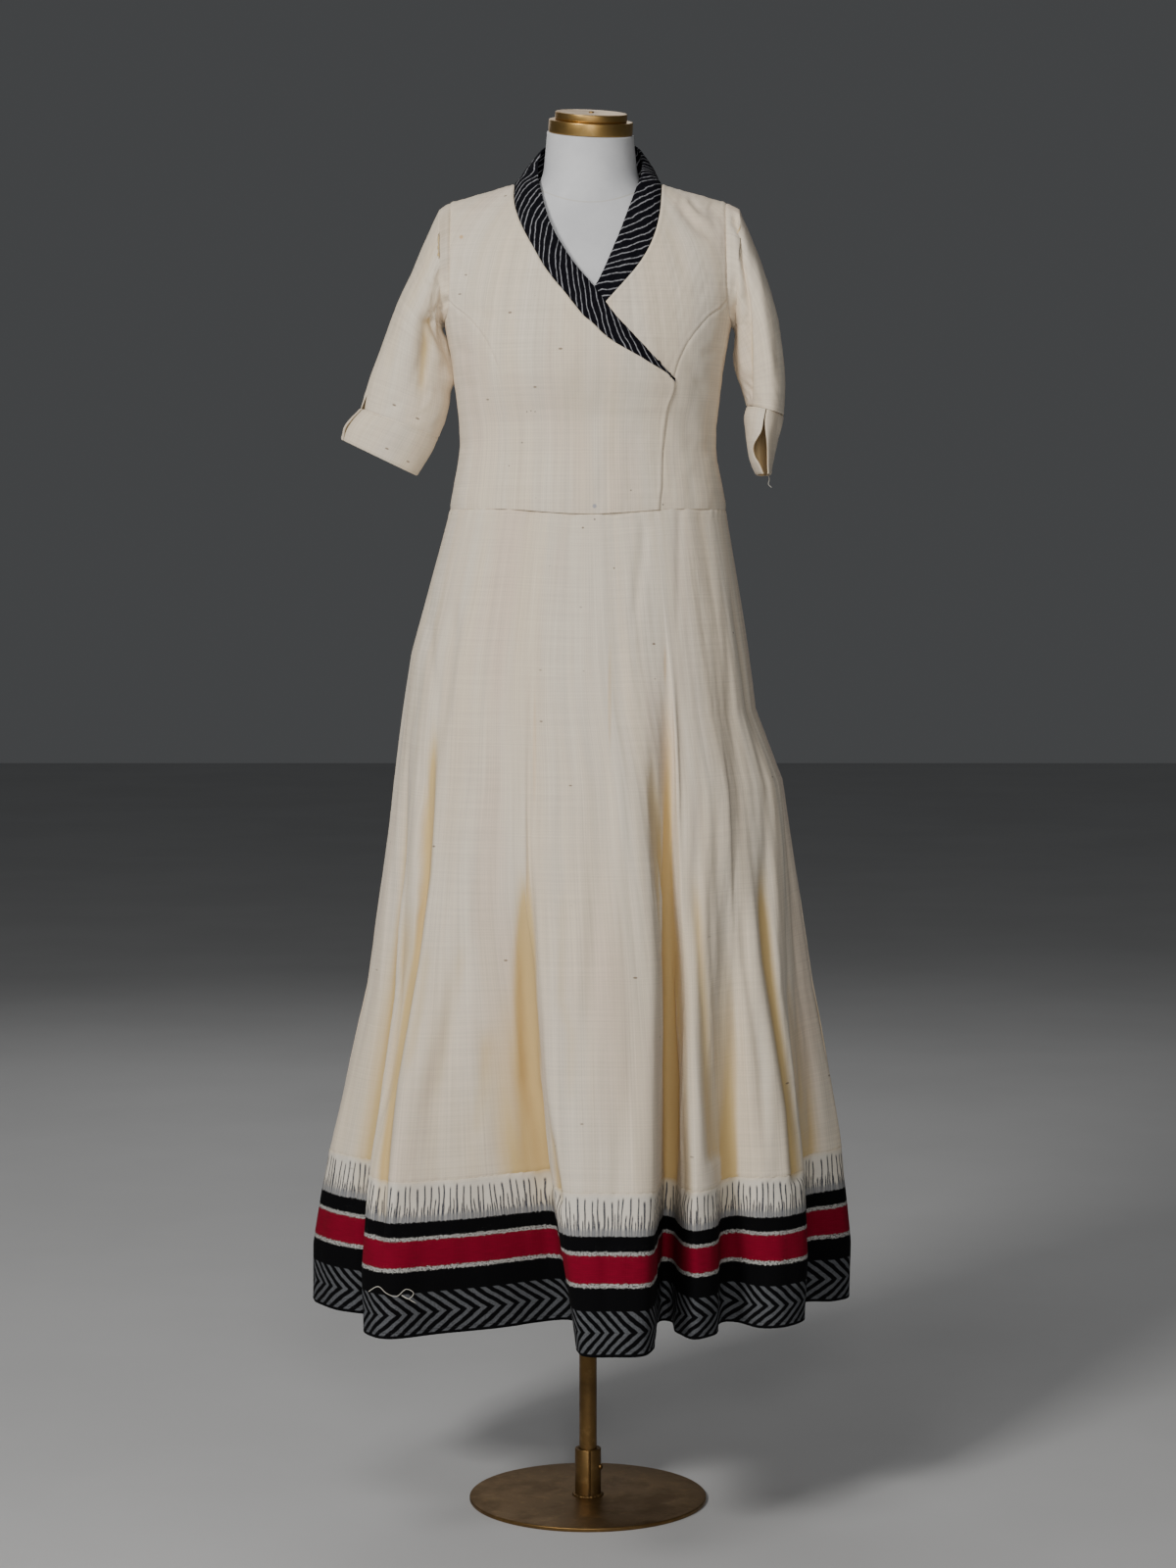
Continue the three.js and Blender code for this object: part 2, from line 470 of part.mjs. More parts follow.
// Heights of the rows that all fronts and the collar share, so their seams run side by side.
const WRAP_TIP_H = onBodice(WRAP_EDGE[0]).h;
const FRONT_ROWS = [
  0,
  ...between(0, WRAP_TIP_H, 6),
  ...between(WRAP_TIP_H, JUNCTION_H, 13),
  ...between(JUNCTION_H, FRONT_ROUNDING, 3),
  ...shoulderTurn(FRONT_ROUNDING, 6),
];
const BACK_ROWS = [0, ...between(0, BACK_ROUNDING, 10), ...shoulderTurn(BACK_ROUNDING, 5)];

/** Row heights that follow the quarter turn from a start height up to the shoulder seam. */
function shoulderTurn(start, count) {
  return between(0, Math.PI / 2, count).map((turn) => start + (1 - start) * Math.sin(turn));
}

const SLOWEST_SPEED = 20; // millimetres per radian, for the shoulder seam's end

/** The angle half a seam gap to one side of an edge. */
function besideEdge(angle, h, side, direction) {
  const step = 1e-3;
  const speed = bodicePoint(angle, h, side).distanceTo(bodicePoint(angle + step, h, side)) / step;
  return angle + (direction * SEAM_GAP) / 2 / Math.max(speed, SLOWEST_SPEED);
}

/**
 * A panel between two edges, each an angle by height. heightAt(u, row) gives the height of a
 * row at a share u of the panel's width.
 */
function bodicePanel({ left, right, side = 'front', rows, across, lift = () => 0, heightAt = (u, h) => h }) {
  const surface = (u, row) => {
    const h = heightAt(u, row);
    const a = besideEdge(left(heightAt(0, row)), h, side, 1);
    const b = besideEdge(right(heightAt(1, row)), h, side, -1);
    const angle = lerp(a, b, u);
    return bodicePoint(angle, h, side, lift(angle, h));
  };
  const outwards = side === 'front' ? surface : (u, row) => surface(1 - u, row);
  return clothWall(outwards, across, rows, CLOTH);
}

/** The wrap's upper front lies off the lower one, but for its right side and its shoulder. */
function wrapLift(angle, h) {
  const { smoothstep } = THREE.MathUtils;
  const { angles, heights } = LIFT_FADE;
  return OVERLAP_LIFT * smoothstep(angle, ...angles) * (1 - smoothstep(h, ...heights));
}

const frontRight = () => bodicePanel({
  left: princessRight, right: wrapEdge, rows: FRONT_ROWS, across: even(12), lift: wrapLift,
});

const frontLeft = () => bodicePanel({
  left: underEdge, right: princessLeft, rows: FRONT_ROWS, across: even(8),
});

/** A side front: from the waist up to the front of the armhole below the princess seam. */
function sideFront(princess, sign) {
  const sideSeam = () => (sign * Math.PI) / 2;
  const corner = armholeAngle(JUNCTION_H);
  const heightAt = (u, row) => {
    const angle = lerp(corner, Math.PI / 2, sign > 0 ? u : 1 - u);
    return (row / JUNCTION_H) * armholeHeight(angle);
  };
  return bodicePanel({
    left: sign > 0 ? princess : sideSeam,
    right: sign > 0 ? sideSeam : princess,
    rows: FRONT_ROWS.filter((h) => h <= JUNCTION_H + 1e-9),
    across: even(5),
    heightAt,
  });
}

/** Bodice coordinates along the back neckline: turn 0 is the shoulder seam, 1 the centre back. */
function onNeckline(turn) {
  const x = columnAt(BACK_NECKLINE, 'x', turn * (BACK_NECKLINE.length - 1));
  const h = columnAt(BACK_NECKLINE, 'h', turn * (BACK_NECKLINE.length - 1));
  return { angle: angleOf(x, h), h };
}

/** The back, with its curved neckline between the shoulder seams. */
function backBodice() {
  const shoulderEnd = armholeAngle(1);
  const neckStops = [0, ...COLLAR_BACK.map(({ turn }) => turn)].map(onNeckline);
  const neckAngles = neckStops.map(({ angle }) => angle).reverse();
  const half = [...neckAngles, ...between(neckStops[0].angle, shoulderEnd, 4)];
  const angles = [...half.slice(1).reverse().map((angle) => -angle), ...half];
  const across = angles.map((angle) => (angle + shoulderEnd) / (2 * shoulderEnd));
  const heights = [...neckStops].reverse();
  const topOf = (angle) => (angle > neckStops[0].angle ? 1 : lookUp(heights, 'angle', angle, 'h'));
  const heightAt = (u, row) => row * topOf(Math.abs(lerp(-shoulderEnd, shoulderEnd, u)));
  return bodicePanel({
    left: (h) => -sideEdge(h), right: sideEdge, side: 'back', rows: BACK_ROWS, across, heightAt,
  });
}

// ---------------------------------------------------------------- collar

/** A point of the back neckline on one side: turn 0 is the shoulder seam, 1 the centre back. */
function necklinePoint(turn, sign) {
  const { angle, h } = onNeckline(turn);
  return bodicePoint(sign * angle, h, 'back');
}

/** One rib of the collar's front part, level with a bodice row. */
function frontRib(h, edge, side, table, lift) {
  const seam = bodicePoint(besideEdge(edge(h), h, 'front', side), h, 'front', lift);
  const read = (name) => lookUpSmooth(table, 'seamZ', seam.z, name);
  const free = onBodice({ x: read('x'), z: read('z') });
  const ground = bodicePoint(free.angle, free.h, 'front');
  const out = read('off') + lift;
  return { seam, free: vec(read('x'), ground.y - out, read('z')), crown: read('crown') };
}

/** One half of the collar, from its front end to the centre back. Side is 1 for the wearer's right. */
function collarHalf(edge, table, side, lift) {
  const heights = FRONT_ROWS.filter((h) => bodicePoint(edge(h), h, 'front').z > table[0].seamZ - 0.01);
  const ribs = heights.map((h) => frontRib(h, edge, side, table, lift(edge(h), h)));
  for (const { turn, x, y, z, crown } of COLLAR_BACK) {
    const free = vec(NECK_X - side * x, y, z);
    ribs.push({ seam: necklinePoint(turn, -side), free, crown });
  }
  const last = ribs.length - 1;
  const beyond = ribs[last - 1]; // the other half's rib, which keeps the curve square at centre back
  const mirrored = (p, middle) => vec(2 * middle - p.x, p.y, p.z);
  ribs.push({ seam: mirrored(beyond.seam, 0), free: mirrored(beyond.free, NECK_X), crown: beyond.crown });
  const along = (part, position) => vec(...['x', 'y', 'z'].map((axis) => (
    columnAt(ribs.map((rib) => rib[part]), axis, position))));
  const { outwards, forwards, up } = COLLAR_SWELL;
  const surface = (u, position) => {
    const seam = along('seam', position);
    const free = along('free', position);
    seam.addScaledVector(free.clone().sub(seam).normalize(), CURVED_SEAM_GAP);
    const point = seam.lerp(free, u);
    const swell = vec(point.x * outwards, point.y + forwards, up).normalize();
    return point.addScaledVector(swell, columnAt(ribs, 'crown', position) * Math.sin(Math.PI * u));
  };
  const positions = ribs.slice(0, last).map((rib, k) => k).concat(last - CENTRE_BACK_TRIM);
  const facing = side > 0 ? surface : (u, position) => surface(1 - u, position);
  return clothWall(facing, even(COLLAR_COLUMNS), positions, COLLAR_CLOTH);
}

// ---------------------------------------------------------------- sleeves and cuffs

/** A point of a sleeve ring. Angle 0 is the outer side and a quarter turn is the front. */
function ringPoint({ outerX, outerZ, innerX, innerZ, depth, y, shear = 0 }, angle, shrink = 0) {
  const half = vec(outerX - innerX, 0, outerZ - innerZ).multiplyScalar(0.5);
  const reach = half.length();
  const forward = Math.sin(angle);
  const point = vec((outerX + innerX) / 2, y - (depth - shrink) * forward, (outerZ + innerZ) / 2);
  return point.addScaledVector(half, (1 - shrink / reach) * Math.cos(angle) + (shear / reach) * forward);
}

/** A point of the armhole, with the same angles as a sleeve ring. */
function armholePoint(angle, sign) {
  const side = Math.sin(angle) >= 0 ? 'front' : 'back';
  const h = lerp(1, UNDERARM_H, (1 - Math.cos(angle)) / 2);
  const p = bodicePoint(armholeAngle(h), h, side);
  return vec(sign * (p.x + ARMHOLE_GAP), p.y, p.z);
}

/** Lifts the lower edge of a sleeve above the slit of its cuff. */
function notched(point, angle, { notch, rings }) {
  const turn = angle - rings[0].slit;
  const off = Math.abs(Math.atan2(Math.sin(turn), Math.cos(turn)));
  point.z += notch * Math.max(0, 1 - off / NOTCH_HALF_ANGLE);
  return point;
}

const sleeveAngles = Array.from({ length: SLEEVE_SIDES }, (_, k) => (k / SLEEVE_SIDES) * 2 * Math.PI);

/** A sleeve tube from the armhole to the cuff seam. */
function sleeve(rings, cuff, sign) {
  const armhole = sleeveAngles.map((angle) => armholePoint(angle, sign));
  const centre = armhole.reduce((sum, p) => sum.add(p), vec(0, 0, 0)).divideScalar(SLEEVE_SIDES);
  const inwards = (p) => vec(0, centre.y - p.y, centre.z - p.z).normalize();
  const outer = [armhole];
  const inner = [armhole.map((p) => p.clone().addScaledVector(inwards(p), CLOTH))];
  rings.forEach((ring, k) => {
    const shaped = (point, angle) => (k === rings.length - 1 ? notched(point, angle, cuff) : point);
    outer.push(sleeveAngles.map((angle) => shaped(ringPoint(ring, angle), angle)));
    inner.push(sleeveAngles.map((angle) => shaped(ringPoint(ring, angle, CLOTH), angle)));
  });
  return wallGeometry(outer, inner, true);
}

/** A cuff band, open along its slit. */
function cuffBand({ rings }) {
  const anglesOf = ({ slit, gap }) => even(SLEEVE_SIDES - 2).map((t) => (
    lerp(slit + gap, slit - gap + 2 * Math.PI, t)));
  const outer = rings.map((ring) => anglesOf(ring).map((angle) => ringPoint(ring, angle)));
  const inner = rings.map((ring) => anglesOf(ring).map((angle) => ringPoint(ring, angle, CLOTH)));
  return wallGeometry(outer, inner, false);
}

// ---------------------------------------------------------------- skirt

/** Reads a column of FOLDS round the skirt. */
function foldValue(name, position) {
  const count = FOLDS.length;
  const i = Math.floor(position);
  const pick = (k) => {
    const row = FOLDS[((k % count) + count) % count];
    return name === 'hip' ? row.hip + 360 * Math.floor(k / count) : row[name];
  };
  return catmull(pick(i - 1), pick(i), pick(i + 1), pick(i + 2), position - i);
}

/** A point of a flattened ring, by its true angle from the front. */
function ovalPoint(angle, { halfWidth, front, back, square }) {
  const depth = Math.cos(angle) >= 0 ? front : back;
  const sine = Math.abs(Math.sin(angle));
  const cosine = Math.abs(Math.cos(angle));
  const reach = ((sine / halfWidth) ** square + (cosine / depth) ** square) ** (-1 / square);
  return { x: reach * Math.sin(angle), y: -reach * Math.cos(angle) };
}

/** The smooth flared cone that the folds drop in from, as a ring at a share of the length. */
function coneRing(t) {
  const waist = BODICE[0];
  const mix = (name) => lerp(waist[name], HEM_CONE[name], t);
  return {
    halfWidth: mix('halfWidth'),
    front: mix('front'),
    back: mix('back'),
    square: lerp(waist.square, HEM_CONE.square, Math.min(ROUNDING_SPEED * t, 1)),
  };
}

/** How far a fold has left the cone at a share of the skirt's length. */
function foldShare(t, start) {
  const soft = (s) => (s - start + Math.hypot(s - start, FOLD_SOFTNESS)) / 2;
  return (soft(t) - soft(0)) / (soft(1) - soft(0));
}

/** A point of the skirt: position runs round FOLDS and t from the waist (0) to the hem (1). */
function skirtPoint(position, t) {
  const hip = rad(foldValue('hip', position));
  const hem = { x: foldValue('x', position), y: foldValue('y', position) };
  const hemAngle = Math.atan2(hem.x, -hem.y);
  const swing = Math.atan2(Math.sin(hemAngle - hip), Math.cos(hemAngle - hip));
  const cone = ovalPoint(hip + swing * t, coneRing(t));
  const end = ovalPoint(hemAngle, HEM_CONE);
  const share = foldShare(t, foldValue('start', position));
  const flare = lookUp(SIDE_FLARE, 't', t, Math.sin(hip) < 0 ? 'right' : 'left');
  const x = cone.x + flare * Math.sign(Math.sin(hip)) * Math.sin(hip) ** SIDE_FLARE_POWER;
  const dip = Math.cos(hip) > 0 ? waistDip(cone.x) * (1 - t) ** DIP_FADE.skirt : 0;
  const z = lerp(WAIST_Z - CURVED_SEAM_GAP, HEM_Z, t) - dip;
  return vec(x + (hem.x - end.x) * share, cone.y + (hem.y - end.y) * share, z);
}

/** Share of the skirt's length at which the band starts. */
const bandStart = (position) => 1 - foldValue('band', position) / (WAIST_Z - HEM_Z);

/**
 * Part of the skirt between the two side seams. Top and bottom give the share of its length
 * at a position round FOLDS.
 */
function skirtHalf({ from, to }, top, bottom, rows) {
  const columns = (to - from) * COLUMNS_PER_FOLD;
  const [left, right] = [from + SIDE_SEAM_TRIM, to - SIDE_SEAM_TRIM];
  const surface = (u, v) => {
    const position = lerp(left, right, u);
    return skirtPoint(position, lerp(bottom(position), top(position), v));
  };
  return clothWall(surface, even(columns), even(rows), CLOTH);
}

// ---------------------------------------------------------------- form and stand

/** The dress form: rings from the bottom up to the leaning neck plate. */
function formTorso() {
  const points = [];
  const faces = [];
  const neckTop = FORM[FORM.length - 1].z;
  const ringFaces = (a, b) => {
    for (let j = 0; j < FORM_SIDES; j += 1) {
      const k = (j + 1) % FORM_SIDES;
      faces.push(a + j, a + k, b + k, a + j, b + k, b + j);
    }
  };
  FORM.forEach((ring, i) => {
    const lean = clamp((ring.z - NECK_BASE_Z) / (neckTop - NECK_BASE_Z), 0, 1);
    for (let j = 0; j < FORM_SIDES; j += 1) {
      const { x, y } = ovalPoint((j / FORM_SIDES) * 2 * Math.PI, ring);
      points.push(vec(x + ring.x, y + ring.y, ring.z + lean * (y * CAP_PITCH - x * CAP_ROLL)));
    }
    if (i > 0) ringFaces((i - 1) * FORM_SIDES, i * FORM_SIDES);
  });
  const topRing = (FORM.length - 1) * FORM_SIDES;
  for (let j = 1; j < FORM_SIDES - 1; j += 1) {
    faces.push(0, j + 1, j);
    faces.push(topRing, topRing + j, topRing + j + 1);
  }
  return solidGeometry(points, faces);
}

/** A disc with bevelled rims, turned about +Z. */
function disc({ radius, bottom, top, bevel, sides }) {
  const profile = [
    [0, bottom], [radius - bevel, bottom], [radius, bottom + bevel],
    [radius, top - bevel], [radius - bevel, top], [0, top],
  ];
  const geometry = new THREE.LatheGeometry(profile.map(([r, z]) => new THREE.Vector2(r, z)), sides);
  return geometry.rotateX(Math.PI / 2);
}

/** The two discs of the cap, on the leaning neck plate. */
function neckCap() {
  const top = FORM[FORM.length - 1];
  const plate = new THREE.Group();
  plate.position.set(top.x, top.y, top.z);
  plate.rotation.set(Math.atan(CAP_PITCH), Math.atan(CAP_ROLL), 0);
  let bottom = SEAM_GAP;
  for (const { name, radius, height, bevel } of CAPS) {
    plate.add(piece(name, disc({ radius, bottom, top: bottom + height, bevel, sides: SIDES.cap }), 'brass'));
    bottom += height + SEAM_GAP;
  }
  return plate;
}

/** The split clamp socket: a tube with a narrow slit near the front. */
function poleSocket() {
  const inner = POLE.radius + SEAM_GAP;
  const { outer, slit, slitAngle, height } = SOCKET;
  const outerHalf = Math.asin(slit / 2 / outer);
  const innerHalf = Math.asin(slit / 2 / inner);
  const shape = new THREE.Shape();
  shape.absarc(0, 0, outer, slitAngle + outerHalf, slitAngle - outerHalf + 2 * Math.PI, false);
  shape.absarc(0, 0, inner, slitAngle - innerHalf + 2 * Math.PI, slitAngle + innerHalf, true);
  const options = { depth: height, bevelEnabled: false, curveSegments: SIDES.socket };
  return new THREE.ExtrudeGeometry(shape, options);
}

// ---------------------------------------------------------------- assembly

/** A named mesh with one of the finishes. */
function piece(name, geometry, finish) {
  const mesh = new THREE.Mesh(geometry, new THREE.MeshStandardMaterial(FINISHES[finish]));
  mesh.name = name;
  return mesh;
}

function bodice() {
  const group = new THREE.Group();
  group.add(
    piece('front_right', frontRight(), 'cotton'),
    piece('front_left', frontLeft(), 'cotton'),
    piece('side_front_right', sideFront(princessRight, -1), 'cotton'),
    piece('side_front_left', sideFront(princessLeft, 1), 'cotton'),
    piece('back_bodice', backBodice(), 'cotton'),
    piece('collar_right', collarHalf(wrapEdge, COLLAR_RIGHT, 1, wrapLift), 'stripe'),
    piece('collar_left', collarHalf(underEdge, COLLAR_LEFT, -1, () => 0), 'stripe'),
  );
  return group;
}

function sleeves() {
  const group = new THREE.Group();
  group.add(
    piece('sleeve_right', sleeve(SLEEVE_RIGHT, CUFF_RIGHT, -1), 'cotton'),
    piece('sleeve_left', sleeve(SLEEVE_LEFT, CUFF_LEFT, 1), 'cotton'),
    piece('cuff_right', cuffBand(CUFF_RIGHT), 'cotton'),
    piece('cuff_left', cuffBand(CUFF_LEFT), 'cotton'),
  );
  return group;
}

function skirt() {
  const group = new THREE.Group();
  const halfGap = SEAM_GAP / 2 / (WAIST_Z - HEM_Z);
  const above = (position) => bandStart(position) - halfGap;
  const below = (position) => bandStart(position) + halfGap;
  for (const half of SKIRT_HALVES) {
    group.add(
      piece(`skirt_${half.name}`, skirtHalf(half, () => 0, above, SKIRT_ROWS), 'cotton'),
      piece(`border_${half.name}`, skirtHalf(half, below, () => 1, BORDER_ROWS), 'border'),
    );
  }
  return group;
}

function dressForm() {
  const group = new THREE.Group();
  const poleBottom = BASE.height + SEAM_GAP;
  const poleLength = FORM_BOTTOM_Z - SEAM_GAP - poleBottom;
  const bar = new THREE.CylinderGeometry(POLE.radius, POLE.radius, poleLength, SIDES.pole);
  const pole = piece('pole', bar, 'bronze');
  pole.rotation.x = Math.PI / 2;
  pole.position.z = poleBottom + poleLength / 2;
  const socket = piece('pole_socket', poleSocket(), 'bronze');
  socket.position.z = poleBottom;
  const { radius, height: top, bevel } = BASE;
  const plate = piece('base_plate', disc({ radius, bottom: 0, top, bevel, sides: SIDES.base }), 'bronze');
  group.add(piece('form_torso', formTorso(), 'form'), neckCap(), pole, socket, plate);
  return group;
}

const dress = new THREE.Group();
dress.add(bodice(), sleeves(), skirt(), dressForm());

export default dress;
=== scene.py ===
"""A wrap-front maxi dress on a limbless dress form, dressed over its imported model.

Lengths in the tables are millimetres, +Z is up and the wearer faces -Y, so the wearer's right
side is at -X. Every cloth piece is a grid of points on the same surface formulas as its solid,
with finer folds, creases and seams pressed into it, and a thin wall behind it.
"""

from __future__ import annotations

import logging
import math
from dataclasses import dataclass, field
from enum import Enum
from typing import Callable, Iterable, Sequence

import bpy
import numpy as np
from mathutils import Matrix, Vector

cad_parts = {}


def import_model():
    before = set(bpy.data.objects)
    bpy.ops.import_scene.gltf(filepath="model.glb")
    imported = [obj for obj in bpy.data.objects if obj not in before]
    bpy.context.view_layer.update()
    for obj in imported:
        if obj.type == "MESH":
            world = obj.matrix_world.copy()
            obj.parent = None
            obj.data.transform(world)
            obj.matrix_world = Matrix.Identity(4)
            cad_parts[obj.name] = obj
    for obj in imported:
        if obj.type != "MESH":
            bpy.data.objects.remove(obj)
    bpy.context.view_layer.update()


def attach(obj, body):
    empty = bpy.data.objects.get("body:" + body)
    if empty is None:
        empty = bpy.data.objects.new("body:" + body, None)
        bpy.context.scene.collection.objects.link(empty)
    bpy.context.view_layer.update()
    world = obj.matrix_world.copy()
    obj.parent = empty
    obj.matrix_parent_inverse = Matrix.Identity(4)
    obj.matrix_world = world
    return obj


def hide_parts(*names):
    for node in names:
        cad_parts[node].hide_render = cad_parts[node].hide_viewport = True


Array = np.ndarray
Socket = bpy.types.NodeSocket
Material = bpy.types.Material
Piece = bpy.types.Object
Edge = Callable[[Array], Array]
Field = Callable[[Array, Array], Array]
Colour = tuple[float, float, float]
Point = tuple[float, float, float]
Profile = Sequence[tuple[float, float]]
Waves = tuple[tuple[float, tuple[float, float]], ...]

log = logging.getLogger("maxi_dress")

MM = 0.001
BODY = "root"

SEAM_GAP = 0.3  # between pieces that are sewn together
CURVED_SEAM_GAP = 0.5  # the same at the waist and the neckline
WAIST_Z = 1250.0
HEM_Z = 261.0
NECK_X = 3.0
WARM_SHADE_WIDTH = 8.0  # narrower creases only darken; wider ones also get painted warm shade
WARM_SHADE_DEPTH = 9.0  # depth of a crease whose cloth gets the full painted warm shade
# the most painted warm shade that one crease gives
WARMEST_SHADE = 0.95
INSIDE_PAINTED_LIGHT = 0.6  # painted warm light on the cloth's inner face, which sees light that came through it
BODY_RADIUS = 190.0  # for the flat places of the bodice
BODY_DEPTH_SHIFT = 60.0
HOLLOW_DEPTH = 0.16  # of a full fold, as a share of the width that it is compared with
RIDGE_PLACE, RIDGE_WIDTH = 2.6, 1.6  # of a seam's swelling, as shares of the seam's width
FINE_STEPS = (1.0, 2.2, 4.0, 7.0)  # places of the extra rows beside an edge
FINE_END = 8.5  # where the even rows go on


class Side(Enum):
    """The half of the bodice that a point lies on."""

    FRONT = "front"
    BACK = "back"


class Facing(Enum):
    """The way that a creased part of the cloth looks, with the plane its crease is drawn in."""

    FRONT = ((0.0, -1.0, 0.0), (0, 2))
    BACK = ((0.0, 1.0, 0.0), (0, 2))
    RIGHT = ((-1.0, 0.0, 0.0), (1, 2))
    LEFT = ((1.0, 0.0, 0.0), (1, 2))


class Hold(Enum):
    """How a sheet of cloth is held."""

    DRAPED = "draped"
    HUNG = "hung"


# ---- numbers and tables


def smoothstep(value: Array, low: float, high: float) -> Array:
    """Rises smoothly from 0 at low to 1 at high."""
    share = np.clip((value - low) / (high - low), 0, 1)
    return share * share * (3 - 2 * share)


def catmull(a: Array, b: Array, c: Array, d: Array, t: Array) -> Array:
    """Smooth curve through four neighbouring values (uniform Catmull-Rom)."""
    t2, t3 = t * t, t * t * t
    bend, twist = 2 * a - 5 * b + 4 * c - d, 3 * b - a - 3 * c + d
    return 0.5 * (2 * b + (c - a) * t + bend * t2 + twist * t3)


def lerp(a: Array, b: Array, t: Array) -> Array:
    """Straight mix of two values."""
    return a + (b - a) * t


class Table:
    """Rows of named columns that can be read between the rows."""

    def __init__(self, names: str, rows: Sequence[Sequence[float]]) -> None:
        """Keeps the rows as one array for each column.

        Args:
            names: The columns' names, parted by spaces.
            rows: One sequence of numbers for each row.
        """
        self.columns = {name: np.array(c, float) for name, c in zip(names.split(), zip(*rows))}
        self.last = len(rows) - 1

    def at(self, name: str, position: Array) -> Array:
        """Reads a column at a fractional row number, along a smooth curve.

        Args:
            name: The column.
            position: Row numbers with their fractions.

        Returns:
            The values there.
        """
        column = self.columns[name]
        s = np.clip(position, 0, self.last)
        i = np.minimum(np.floor(s).astype(int), self.last - 1)

        def pick(k: Array) -> Array:
            """The column's value at a row, held within the table."""
            return column[np.clip(k, 0, self.last)]

        return catmull(pick(i - 1), pick(i), pick(i + 1), pick(i + 2), s - i)

    def row_where(self, key: str, value: Array) -> Array:
        """Row number, with its fraction, at which a rising column reaches a value."""
        column = self.columns[key]
        i = np.searchsorted(column[1 : self.last], value, side="left")
        return np.clip(i + (value - column[i]) / (column[i + 1] - column[i]), 0, self.last)

    def look_up(self, key: str, value: Array, name: str) -> Array:
        """Reads a column by the value of another, rising one, in straight steps."""
        s = self.row_where(key, value)
        i = np.minimum(np.floor(s).astype(int), self.last - 1)
        column = self.columns[name]
        return lerp(column[i], column[i + 1], s - i)

    def smooth(self, key: str, value: Array, name: str) -> Array:
        """The same, along a smooth curve."""
        return self.at(name, self.row_where(key, value))


def stack(x: Array, y: Array, z: Array) -> Array:
    """Points from three arrays of coordinates."""
    return np.stack(np.broadcast_arrays(x, y, z), axis=-1).astype(float)


def unit(vectors: Array) -> Array:
    """The same directions with length 1."""
    return vectors / np.maximum(np.linalg.norm(vectors, axis=-1, keepdims=True), 1e-9)


def unevenness(across: Array, up: Array, wave: tuple[float, float], seed: int, count: int = 7) -> Array:
    """A smooth random height between about -1 and 1.

    Args:
        across: Place across the cloth in millimetres.
        up: Place up the cloth in millimetres.
        wave: Usual wavelengths across and up.
        seed: Number that fixes the pattern.
        count: Number of waves that make it up.

    Returns:
        The height at each place.
    """
    dice = np.random.default_rng(seed)
    total = np.zeros(np.broadcast(across, up).shape)
    for _ in range(count):
        a, b = dice.uniform(0.6, 1.7, 2) * np.array([1, dice.choice([-1, 1])])
        phase = dice.uniform(0, 2 * math.pi)
        total = total + np.sin(2 * math.pi * (a * across / wave[0] + b * up / wave[1]) + phase)
    return total / math.sqrt(2 * count)


def ripples(across: Array, up: Array, seed: int, waves: Waves) -> Array:
    """Unevenness of several sizes together, each with its height and its wavelengths."""
    return sum(height * unevenness(across, up, wave, seed + k) for k, (height, wave) in enumerate(waves))


def graded(count: int, near: float) -> Array:
    """Shares from 0 to 1 with a few more close to both ends.

    Args:
        count: Number of even steps.
        near: Size of the first of the extra steps, as a share.

    Returns:
        The rising shares.
    """
    even = np.linspace(0, 1, count + 1)
    extra, end = near * np.array(FINE_STEPS), near * FINE_END
    inside = even[(even <= 0) | (even >= 1) | ((even > end) & (even < 1 - end))]
    return np.unique(np.concatenate([inside, extra, 1 - extra]))


# ---- cloth grids


@dataclass(frozen=True)
class Crease:
    """A soft valley, or with a negative depth a ridge, pressed into the cloth."""

    path: tuple[tuple[float, float], ...]
    width: float
    depth: float
    facing: Facing = Facing.FRONT
    fade: tuple[float, float] = (0.25, 0.25)

    def amount(self, points: Array, normals: Array) -> Array:
        """How far the cloth moves outwards.

        Args:
            points: Points of the cloth.
            normals: Outward directions there.

        Returns:
            The move at each point, negative for inwards.
        """
        direction, plane = self.facing.value
        flat = points[..., list(plane)]
        path = np.array(self.path, float)
        lengths = np.linalg.norm(np.diff(path, axis=0), axis=1)
        ends = np.concatenate([[0], np.cumsum(lengths)]) / lengths.sum()
        best = np.full(flat.shape[:-1], np.inf)
        share = np.zeros(flat.shape[:-1])
        for k, length in enumerate(lengths):
            step = path[k + 1] - path[k]
            t = np.clip(((flat - path[k]) @ step) / length**2, 0, 1)
            off = np.linalg.norm(flat - path[k] - t[..., None] * step, axis=-1)
            nearer = off < best
            best = np.where(nearer, off, best)
            share = np.where(nearer, lerp(ends[k], ends[k + 1], t), share)
        start, end = self.fade
        shape = np.exp(-((best / self.width) ** 2))
        if start > 0:
            shape = shape * smoothstep(share, 0, start)
        if end > 0:
            shape = shape * smoothstep(1 - share, 0, end)
        seen = np.clip(3 * (normals @ np.array(direction)), 0, 1)
        return -self.depth * shape * seen


@dataclass(frozen=True)
class Hem:
    """How one edge of a piece ends: drawn into its seam, swollen beside it and puckered."""

    tuck: float = 0.9
    width: float = 1.8
    ridge: float = 0.25
    pucker: float = 0.0
    pitch: float = 9.0
    reach: float = 9.0


FREE_EDGE = Hem(tuck=0.45, width=0.8, ridge=0.0)
SEAM = Hem(tuck=0.45, width=1.4)


